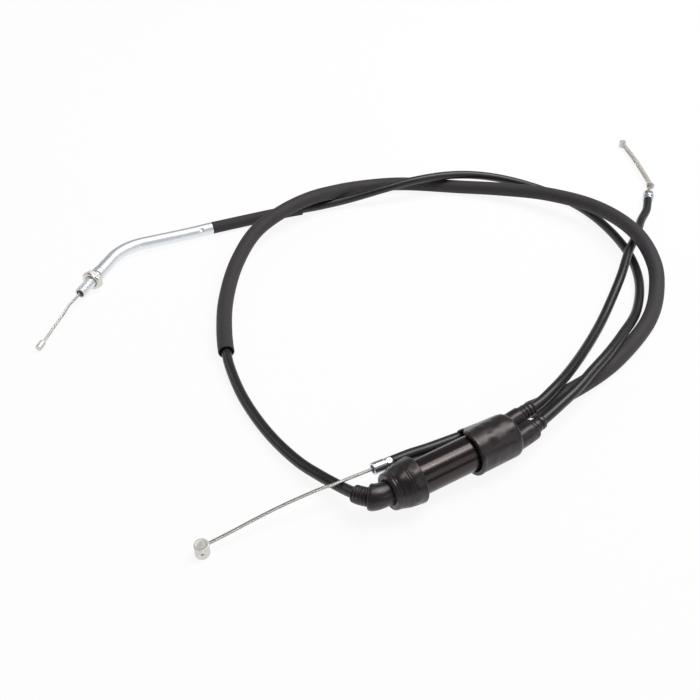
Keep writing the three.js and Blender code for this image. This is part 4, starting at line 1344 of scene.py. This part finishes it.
@dataclass
class PullCable(Cable):
    """The cable from the twist grip: a loose sleeve, a crimped ferrule, a barrel nipple."""

    sheath_nodes: tuple[str, ...] = (
        "throttle_sheath_entry", "throttle_sheath", "throttle_sheath_end",
    )
    wire_node: str = "throttle_wire"
    sleeve_from: tuple[float, float, float] = (-48.2, 120.4, 4.2)
    sleeve_to: tuple[float, float, float] = (54.0, 9.1, 4.7)
    heading: float = 176.0
    collar_length: float = 2.8
    groove_length: float = 0.8
    front_length: float = 5.6
    front_radius: float = 2.75
    hidden: float = 8.8
    plain: float = 20.0
    nipple_radius: float = 3.1
    nipple_height: float = 6.0
    path: list[tuple] = field(default_factory=lambda: [
        (-52.8, 14.1, 10.3), (-63.5, 15.6, 9.0), (-73.5, 16.6, 7.7), (-83.4, 17.1, 6.5),
        (-95.1, 17.2, 5.3), (-106.0, 17.3, 4.5),
    ])

    def fittings(self) -> tuple[list[Thing], Array, Array]:
        """Builds the sleeve, and the ferrule of a crimped collar, a groove and a hollow front.

        Returns:
            Sleeve and ferrule, the wire's mouth and its way.
        """
        start, stop = self.route.nearest(self.sleeve_from), self.route.nearest(self.sleeve_to)
        sleeve = self.sleeve("loose_sleeve", start, stop, 4.1, 3.4, "throttle_sleeve")
        groove, radius = self.collar_length, self.front_radius
        front = groove + self.groove_length
        end = front + self.front_length
        profile = lay(
            (0.0, self.liner), (0.0, 2.7, 0.3), (groove, 2.7, 0.25), (groove, 2.3, 0.1),
            (front, 2.3, 0.1), (front, radius, 0.2), (end, radius, 0.35), (end, 1.9, 0.25),
            (end - 1.6, 1.9), (end - 1.6, self.liner),
        )
        crimp = crimped(4.95, 12, groove / 2, 1.6, 1.5)
        ferrule, mouth, way = self.ferrule("pull_ferrule", profile, crimp, "throttle_ferrule")
        return [sleeve, ferrule], mouth, way

    def wire_fittings(self, bare: Route, mouth: Array, way: Array) -> list[Thing]:
        """Builds the barrel nipple with its wire hole and a small blind hole."""
        return [self.standing_nipple("pull_nipple", bare, 0.35, 4.0, "throttle_nipple", -110.0)]


@dataclass
class CarburettorCable(Cable):
    """The branch to the carburettor: a tight sleeve, a plated elbow with its lock nut."""

    sheath_nodes: tuple[str, ...] = ("carb_sheath_root", "carb_sheath")
    wire_node: str = "carb_wire"
    sheath_end: float = 0.3
    sleeve_from: tuple[float, float, float] = (50.0, 220.1, 3.7)
    elbow_heading: float = 175.7
    bend: float = 45.0
    bend_radius: float = 30.0
    run: float = 42.0
    tail: float = 13.2
    ring: float = 3.2
    thread: float = 17.3
    thread_radius: float = 2.98
    pitch: float = 1.0
    thread_depth: float = 0.28
    height: float = 6.1
    tube_radius: float = 3.5
    ring_radius: float = 3.8
    dimple_at: float = 7.3
    dimple_turn: float = 40.0
    nut_width: float = 10.0
    nut_thickness: float = 3.8
    nut_from_ring: float = 2.3
    hidden: float = 13.0
    plain: float = 11.6
    path: list[tuple] = field(default_factory=lambda: [
        (-108.3, 191.0, 5.6), (-114.0, 185.9, 4.7), (-119.6, 181.0, 3.5), (-124.9, 176.8, 2.3),
    ])

    def elbow_route(self) -> Route:
        """Works out the elbow's axis.

        The heading grows evenly over the bend, the places are the summed steps along it,
        and the height rises by the smooth step 3s² - 2s³ up to the bend's end.

        Returns:
            The route.
        """
        bend_to = self.run + self.bend_radius * math.radians(self.bend)
        end = bend_to + self.tail + self.ring + self.thread
        along = np.linspace(0, end, round(end / 4) + 1)
        middle = (along[1:] + along[:-1]) / 2
        share = np.clip((middle - self.run) / (bend_to - self.run), 0, 1)
        angle = np.radians(self.elbow_heading + self.bend * share)
        steps = np.diff(along)[:, None] * np.stack([np.cos(angle), np.sin(angle)], -1)
        start = self.route.points[-1]
        level = start[:2] + np.vstack([np.zeros((1, 2)), np.cumsum(steps, axis=0)])
        s = np.clip(along / bend_to, 0, 1)
        high = start[2] + (self.height - start[2]) * (3 * s ** 2 - 2 * s ** 3)
        return Route(np.column_stack([level, high]))

    def elbow(self, axis: Route) -> Thing:
        """Builds the elbow: tube, ring and thread in one profile, dimpled near its root.

        In the thread the radius falls by a triangle wave of the distance over the pitch
        less the turn, which makes one helix.

        Args:
            axis: the elbow's route.

        Returns:
            The elbow.
        """
        end, tube, ring, core = axis.length, self.tube_radius, self.ring_radius, self.thread_radius
        thread_from = end - self.thread
        ring_from = thread_from - self.ring
        profile = lay(
            (0.0, self.liner), (0.0, tube, 0.4), (ring_from - 0.3, tube, 0.3),
            (ring_from, ring, 0.3), (thread_from - 0.2, ring, 0.4),
            (thread_from + 0.2, core, 0.2), (end, core, 0.6), (end, 2.15, 0.2),
            (end - 3.9, 2.1), (end - 3.9, self.liner),
        )

        def shape(along: Array, turn: Array, radius: Array) -> Array:
            """Cuts the helix into the outside of the thread and presses the dimple.

            Args:
                along: distances along the elbow.
                turn: turns round it in radians.
                radius: radii of the profile.

            Returns:
                The radii.
            """
            outside = radius > 2.6
            phase = (along / self.pitch - turn / (2 * math.pi)) % 1.0
            groove = self.thread_depth * np.abs(2 * phase - 1)
            runs_in = np.clip((along - thread_from - 0.6) / 0.8, 0, 1)
            cut = radius - groove * runs_in * np.clip(end - along - 0.2, 0, 1) * outside
            aside = (turn - math.radians(self.dimple_turn) + math.pi) % (2 * math.pi) - math.pi
            off = np.hypot(along - self.dimple_at, aside * tube)
            return cut - 0.4 * np.clip(1 - (off / 1.35) ** 2, 0, 1) ** 0.7 * outside

        skin = carried(axis, split(profile, 0.22), 72, shape=shape)
        return fitted("carburettor_elbow", skin, ZINC_TUBE, self.body, "carb_elbow", crease=34)

    def nut(self, axis: Route, way: Array) -> Thing:
        """Builds the lock nut: a chamfered ring held inside a six-sided prism.

        Args:
            axis: the elbow's route.
            way: the thread's direction.

        Returns:
            The nut.
        """
        t, corner = self.nut_thickness, self.nut_width / 2 / math.cos(math.pi / 6) + 0.02
        profile = lay(
            (0.0, 3.7, 0.1), (0.0, 4.85, 0.15), (0.75, corner, 0.1), (t - 0.75, corner, 0.1),
            (t, 4.85, 0.15), (t, 3.7, 0.1), (t - 0.4, 3.3), (0.4, 3.3),
        )
        line = straight(axis.points[-1] + way * (self.nut_from_ring - self.thread), way, t)
        skin = carried(line, split(profile, 0.3), 96, shape=polygon_cap(self.nut_width))
        return fitted("elbow_nut", skin, NICKEL, "lock_nut", "carb_lock_nut", crease=22)

    def fittings(self) -> tuple[list[Thing], Array, Array]:
        """Builds the tight sleeve, the elbow and its lock nut.

        Returns:
            The three, the wire's mouth and its way.
        """
        start, end = self.route.nearest(self.sleeve_from), self.route.length - self.gap
        sleeve = self.sleeve("tight_sleeve", start, end, 3.5, 2.95, "carb_tight_sleeve")
        axis, way = self.elbow_route(), heading(self.elbow_heading + self.bend)
        return [sleeve, self.elbow(axis), self.nut(axis, way)], axis.points[-1], way

    def wire_fittings(self, bare: Route, mouth: Array, way: Array) -> list[Thing]:
        """Builds the small nipple in line with the wire, hollow where the wire enters.

        Args:
            bare: the wire's route.
            mouth: not used.
            way: not used.

        Returns:
            The nipple.
        """
        end, ahead = (value[0] for value in bare.frame(np.array([bare.length]))[:2])
        line = straight(end - ahead * self.sunk, ahead, 4.6)
        profile = lay(
            (1.5, 0.0), (1.5, self.slot), (0.0, self.slot, 0.15), (0.0, 1.7, 0.25),
            (4.6, 1.7, 0.3), (4.55, 0.6, 0.2), (4.35, 0.0), closed=False,
        )
        skin = carried(line, split(profile, 0.4, False), 48, False)
        return [fitted("carburettor_nipple", skin, CAST, self.wire_body, "carb_nipple")]


@dataclass
class PumpCable(Cable):
    """The branch to the oil pump: a cup ferrule, and a milky tube over its wire."""

    sheath_nodes: tuple[str, ...] = ("pump_sheath_root", "pump_sheath")
    wire_node: str = "pump_wire"
    heading: float = 42.0
    ferrule_length: float = 9.0
    hidden: float = 8.6
    plain: float = 13.6
    tube_from: float = 11.0
    tube_radius: float = 1.5
    tube_bore: float = 1.2
    tube_short: float = 1.9
    flare: float = 1.6
    bead_from: float = 9.4
    bead_radius: float = 2.4
    bead_thickness: float = 1.2
    bead_aside: float = 0.9
    nipple_radius: float = 2.1
    nipple_height: float = 4.2
    path: list[tuple] = field(default_factory=lambda: [
        (264.6, 143.6, 3.1), (269.2, 151.6, 2.8), (273.4, 159.4, 2.6), (279.2, 171.6, 2.4),
        (283.2, 180.8, 2.1),
    ])

    def fittings(self) -> tuple[list[Thing], Array, Array]:
        """Builds the ferrule: a turned cup with two crimped bands and a rolled mouth.

        Returns:
            The ferrule, the wire's mouth and its way.
        """
        end = self.ferrule_length
        profile = lay(
            (0.0, self.liner), (0.0, 3.1, 0.5), (2.0, 3.25, 0.4), (2.5, 2.95, 0.3),
            (3.1, 2.95, 0.3), (3.6, 3.28, 0.4), (end - 1.7, 3.28, 0.3), (end - 0.9, 3.1, 0.4),
            (end, 2.6, 0.3), (end, 1.9, 0.2), (end - 1.6, 1.9), (end - 1.6, self.liner),
        )
        crimp = crimped(6.1, 20, 5.4, 1.5, 0.9)
        ferrule, mouth, way = self.ferrule("pump_cup", profile, crimp, "pump_ferrule")
        return [ferrule], mouth, way

    def bead(self, mouth: Array, way: Array) -> Thing:
        """Builds the translucent bead, its hole to one side so that it hangs down.

        Args:
            mouth: the wire's mouth.
            way: its way there.

        Returns:
            The bead.
        """
        side, place = np.array([-way[1], way[0], 0.0]), mouth + way * self.bead_from
        radius, thick = self.bead_radius, self.bead_thickness
        rod = lay((0.0, 0.0), (0.0, radius, 0.5), (thick, radius, 0.5), (thick, 0.0), closed=False)
        line = straight(place - side * self.bead_aside, way, thick)
        made = piece("pump_bead_disc", carried(line, split(rod, 0.3, False), 48, False), MILKY)
        carve(made, rod_tool(place - way, way, thick + 2, self.slot))
        return settle(made, self.wire_body, MILKY, "pump_bead")

    def tube(self, mouth: Array, way: Array) -> Thing:
        """Builds the milky tube: a thin ring, flared a little at its open end.

        Args:
            mouth: the wire's mouth.
            way: its way there.

        Returns:
            The tube.
        """
        route = Route([mouth + way * self.tube_from, mouth + way * self.plain, *self.path])
        end, flare = route.length - self.tube_short, self.flare
        radius, bore = self.tube_radius, self.tube_bore
        profile = lay(
            (0.0, bore + 0.1, 0.05), (0.0, radius + 0.12, 0.1), (flare, radius, 1.0),
            (end, radius, 0.1), (end, bore, 0.05), (flare, bore, 1.0),
        )
        skin = carried(route, split(profile, 0.8), 40)
        return fitted("milky_sleeve", skin, MILKY, self.wire_body, "pump_wire_tube")

    def wire_fittings(self, bare: Route, mouth: Array, way: Array) -> list[Thing]:
        """Builds the bead, the milky tube and the small standing nipple.

        Args:
            bare: the wire's route.
            mouth: the wire's mouth.
            way: its way there.

        Returns:
            The three.
        """
        made = [self.bead(mouth, way), self.tube(mouth, way)]
        return [*made, self.standing_nipple("pump_end_nipple", bare, 0.3, 3.0, "pump_nipple")]


# Floor, light and camera


@dataclass
class Studio:
    """A white floor, soft light from above and behind, and the camera.

    Attributes:
        target: the point that the camera looks at, in millimetres.
        camera: the camera's place in millimetres.
    """

    target: tuple[float, float, float] = (8.14, 93.74, 0.0)
    camera: tuple[float, float, float] = (-169.1, -196.7, 290.6)
    lens: float = 45.257
    sensor: float = 36.0
    clip: tuple[float, float] = (0.01, 20.0)
    floor_half: float = 3.0
    floor_height: float = -0.00002
    world_light: float = 0.16
    shadow_share: float = 0.1

    def aim(self, place: Vector, target: Vector) -> Matrix:
        """Gives the matrix of something at a place that looks at a target."""
        turn = (target - place).to_track_quat("-Z", "Y").to_matrix().to_4x4()
        return Matrix.Translation(place) @ turn

    def take_picture(self) -> None:
        """Makes the camera at the photograph's angle."""
        data = bpy.data.cameras.new("camera")
        data.lens, data.sensor_width = self.lens, self.sensor
        data.clip_start, data.clip_end = self.clip
        made = bpy.data.objects.new("camera", data)
        made.matrix_world = self.aim(Vector(self.camera) * MM, Vector(self.target) * MM)
        bpy.context.scene.collection.objects.link(made)
        bpy.context.scene.camera = made

    def lay_floor(self) -> None:
        """Makes the floor: white to the camera and in reflections, with a faint shadow."""
        half = self.floor_half
        x, y = np.meshgrid(np.linspace(-half, half, 9), np.linspace(-half, half, 9))
        points = np.stack([x.ravel(), y.ravel(), np.full(x.size, self.floor_height)], -1)
        number = np.arange(x.size).reshape(x.shape)
        ring = [number[:-1, :-1], number[:-1, 1:], number[1:, 1:], number[1:, :-1]]
        mesh = bpy.data.meshes.new("floor")
        mesh.from_pydata(points.tolist(), [], np.stack(ring, -1).reshape(-1, 4).tolist())
        floor = bpy.data.objects.new("floor", mesh)
        bpy.context.scene.collection.objects.link(floor)
        mesh.materials.append(self.paper())

    def paper(self) -> bpy.types.Material:
        """Makes matt white paper, shown as plain white where the object doesn't shade it.

        Returns:
            The material.
        """
        made = bpy.data.materials.new("white_paper")
        made.use_nodes = True
        tree = made.node_tree
        tree.nodes.clear()
        lit = add_node(tree, "ShaderNodeBsdfDiffuse", {"Color": linear("ffffff"), "Roughness": 0.5})
        white = add_node(tree, "ShaderNodeEmission", {"Color": linear("ffffff"), "Strength": 1.0})
        ray = add_node(tree, "ShaderNodeLightPath")
        glossy, through = ray.outputs["Is Glossy Ray"], ray.outputs["Is Transmission Ray"]
        mirrored = math_node(tree, "MAXIMUM", glossy, through)
        seen = math_node(tree, "MAXIMUM", ray.outputs["Is Camera Ray"], mirrored)
        share = math_node(tree, "MULTIPLY", seen, 1 - self.shadow_share)
        mix = add_node(
            tree, "ShaderNodeMixShader", links={0: share, 1: lit.outputs[0], 2: white.outputs[0]}
        )
        add_node(tree, "ShaderNodeOutputMaterial", links={"Surface": mix.outputs[0]})
        return made

    def light_world(self) -> None:
        """Makes the surrounding white: full to the camera, dimmer as light."""
        world_data = bpy.data.worlds.new("studio")
        bpy.context.scene.world = world_data
        world_data.use_nodes = True
        tree = world_data.node_tree
        tree.nodes.clear()
        ray = add_node(tree, "ShaderNodeLightPath")
        strength = add_node(
            tree, "ShaderNodeMapRange", {3: self.world_light, 4: 1.0},
            {0: ray.outputs["Is Camera Ray"]},
        )
        back = add_node(
            tree, "ShaderNodeBackground", {"Color": linear("ffffff")},
            {"Strength": strength.outputs[0]},
        )
        add_node(tree, "ShaderNodeOutputWorld", links={"Surface": back.outputs[0]})

    def lamp(
        self, name: str, place: tuple[float, float, float], size: tuple[float, float],
        radiance: float, target: tuple[float, float, float] = (0.05, 0.1, 0.0),
    ) -> None:
        """Hangs a soft lamp.

        Its power is the radiance times its area times pi.

        Args:
            name: the lamp's name.
            place: its place in metres.
            size: its width and height in metres.
            radiance: its brightness as a reflection shows it.
            target: the point that it faces, in metres.
        """
        data = bpy.data.lights.new(name, "AREA")
        data.shape, data.size, data.size_y = "RECTANGLE", *size
        data.energy = radiance * size[0] * size[1] * math.pi
        made = bpy.data.objects.new(name, data)
        made.matrix_world = self.aim(Vector(place), Vector(target))
        bpy.context.scene.collection.objects.link(made)

    def light(self) -> None:
        """Hangs the key box above, a weaker box beside and one behind, and a small lamp."""
        self.lamp("key_box", (0.55, 0.08, 1.0), (0.6, 1.1), 5.5)
        self.lamp("side_box", (0.5, -0.85, 0.55), (0.8, 0.5), 0.9)
        self.lamp("back_box", (-0.5, 0.9, 0.6), (0.9, 0.5), 1.2)
        self.lamp("small_lamp", (0.42, -0.02, 0.95), (0.05, 0.05), 40.0)

    def build(self) -> None:
        """Makes floor, world and lamps, and sets how the picture is shown."""
        self.lay_floor()
        self.light_world()
        self.light()
        bpy.context.scene.view_settings.view_transform = "Standard"


# The routes of the three cables, in millimetres

PULL_ROUTE = [
    (-22.8, -2.1, 10.5), (-28.5, -2.1, 10.5), (-33.3, -2.1, 10.5), (-38.4, -0.9, 10.3),
    (-41.9, 2.5, 9.9), (-43.9, 7.6, 8.5), (-45.1, 12.3, 7.0), (-46.7, 17.4, 6.1),
    (-49.1, 24.5, 5.3), (-52.5, 37.1, 3.9), (-55.3, 59.6, 2.7), (-54.9, 86.5, 2.7),
    (-51.3, 108.6, 3.2), (-48.6, 118.6, 4.25), (-41.4, 136.8, 4.3), (-29.6, 159.6, 4.4),
    (-10.5, 185.2, 6.6), (10.3, 202.4, 10.4), (32.6, 211.3, 12.2), (53.8, 215.8, 12.3),
    (73.8, 218.8, 9.6), (97.3, 221.4, 4.8), (118.6, 213.0, 4.4), (149.2, 189.8, 4.4),
    (166.7, 171.4, 6.6), (183.7, 146.1, 10.4), (194.8, 115.4, 13.2), (191.1, 79.6, 15.4),
    (183.1, 57.4, 10.6), (172.5, 44.2, 5.6), (151.7, 29.1, 4.3), (118.4, 15.7, 4.25),
    (97.9, 11.0, 4.25), (72.3, 8.8, 4.3), (50.0, 9.2, 4.9), (32.5, 9.2, 6.3), (10.0, 9.1, 9.3),
    (-4.0, 9.7, 10.3), (-12.4, 10.95, 10.3), (-21.0, 11.55, 10.3),
]
CARB_ROUTE = [
    (24.6, -5.871, 9.165), (26.5, -5.871, 9.165), (31.0, -5.8, 9.3), (41.5, -4.8, 9.9),
    (52.4, -2.7, 10.7), (62.5, -0.4, 11.5), (75.5, 3.0, 12.2), (90.4, 8.5, 12.2),
    (106.8, 14.6, 11.6), (125.7, 23.5, 9.0), (152.4, 38.5, 3.9), (174.8, 58.8, 2.7),
    (189.8, 83.0, 2.7), (198.8, 114.5, 2.7), (199.6, 136.7, 2.7), (193.7, 159.0, 3.2),
    (179.7, 177.4, 6.0), (163.7, 188.4, 9.0), (144.9, 195.6, 11.3), (121.3, 200.6, 12.1),
    (102.3, 205.9, 9.4), (80.8, 212.8, 5.2), (61.5, 217.5, 3.7), (39.2, 222.3, 3.7),
    (14.8, 226.3, 3.65), (-6.0, 229.3, 3.65),
]
PUMP_ROUTE = [
    (24.6, 1.671, 11.835), (26.5, 1.671, 11.835), (31.0, 2.0, 12.1), (38.0, 2.8, 12.2),
    (45.0, 3.7, 12.3), (53.4, 4.6, 12.4), (68.8, 9.5, 11.8), (84.7, 16.6, 9.4),
    (108.2, 29.0, 5.4), (130.3, 41.6, 3.6), (147.8, 52.3, 4.8), (164.3, 62.9, 7.2),
    (182.9, 76.3, 8.7), (191.9, 82.0, 7.9), (205.0, 90.6, 5.4), (219.3, 101.2, 3.8),
    (231.6, 108.6, 3.4), (240.6, 116.2, 3.4),
]


def main() -> None:
    """Builds the camera, the cables, the splitter and the studio."""
    studio = Studio()
    studio.take_picture()
    throttle, carb, pump = Route(PULL_ROUTE), Route(CARB_ROUTE), Route(PUMP_ROUTE)
    splitter = Splitter(throttle, carb, pump)
    reliefs = splitter.build()
    PullCable("pull", throttle, mouth=17.7, wire_body="throttle_end").build(reliefs["inlet"])
    CarburettorCable("carburettor", carb, mouth=18.9, wire_body="carb_end").build(reliefs["carb"])
    PumpCable("pump", pump, mouth=12.5, wire_body="pump_end").build(reliefs["pump"])
    studio.build()
    log.info("boxes written")


if __name__ == "__main__":
    main()
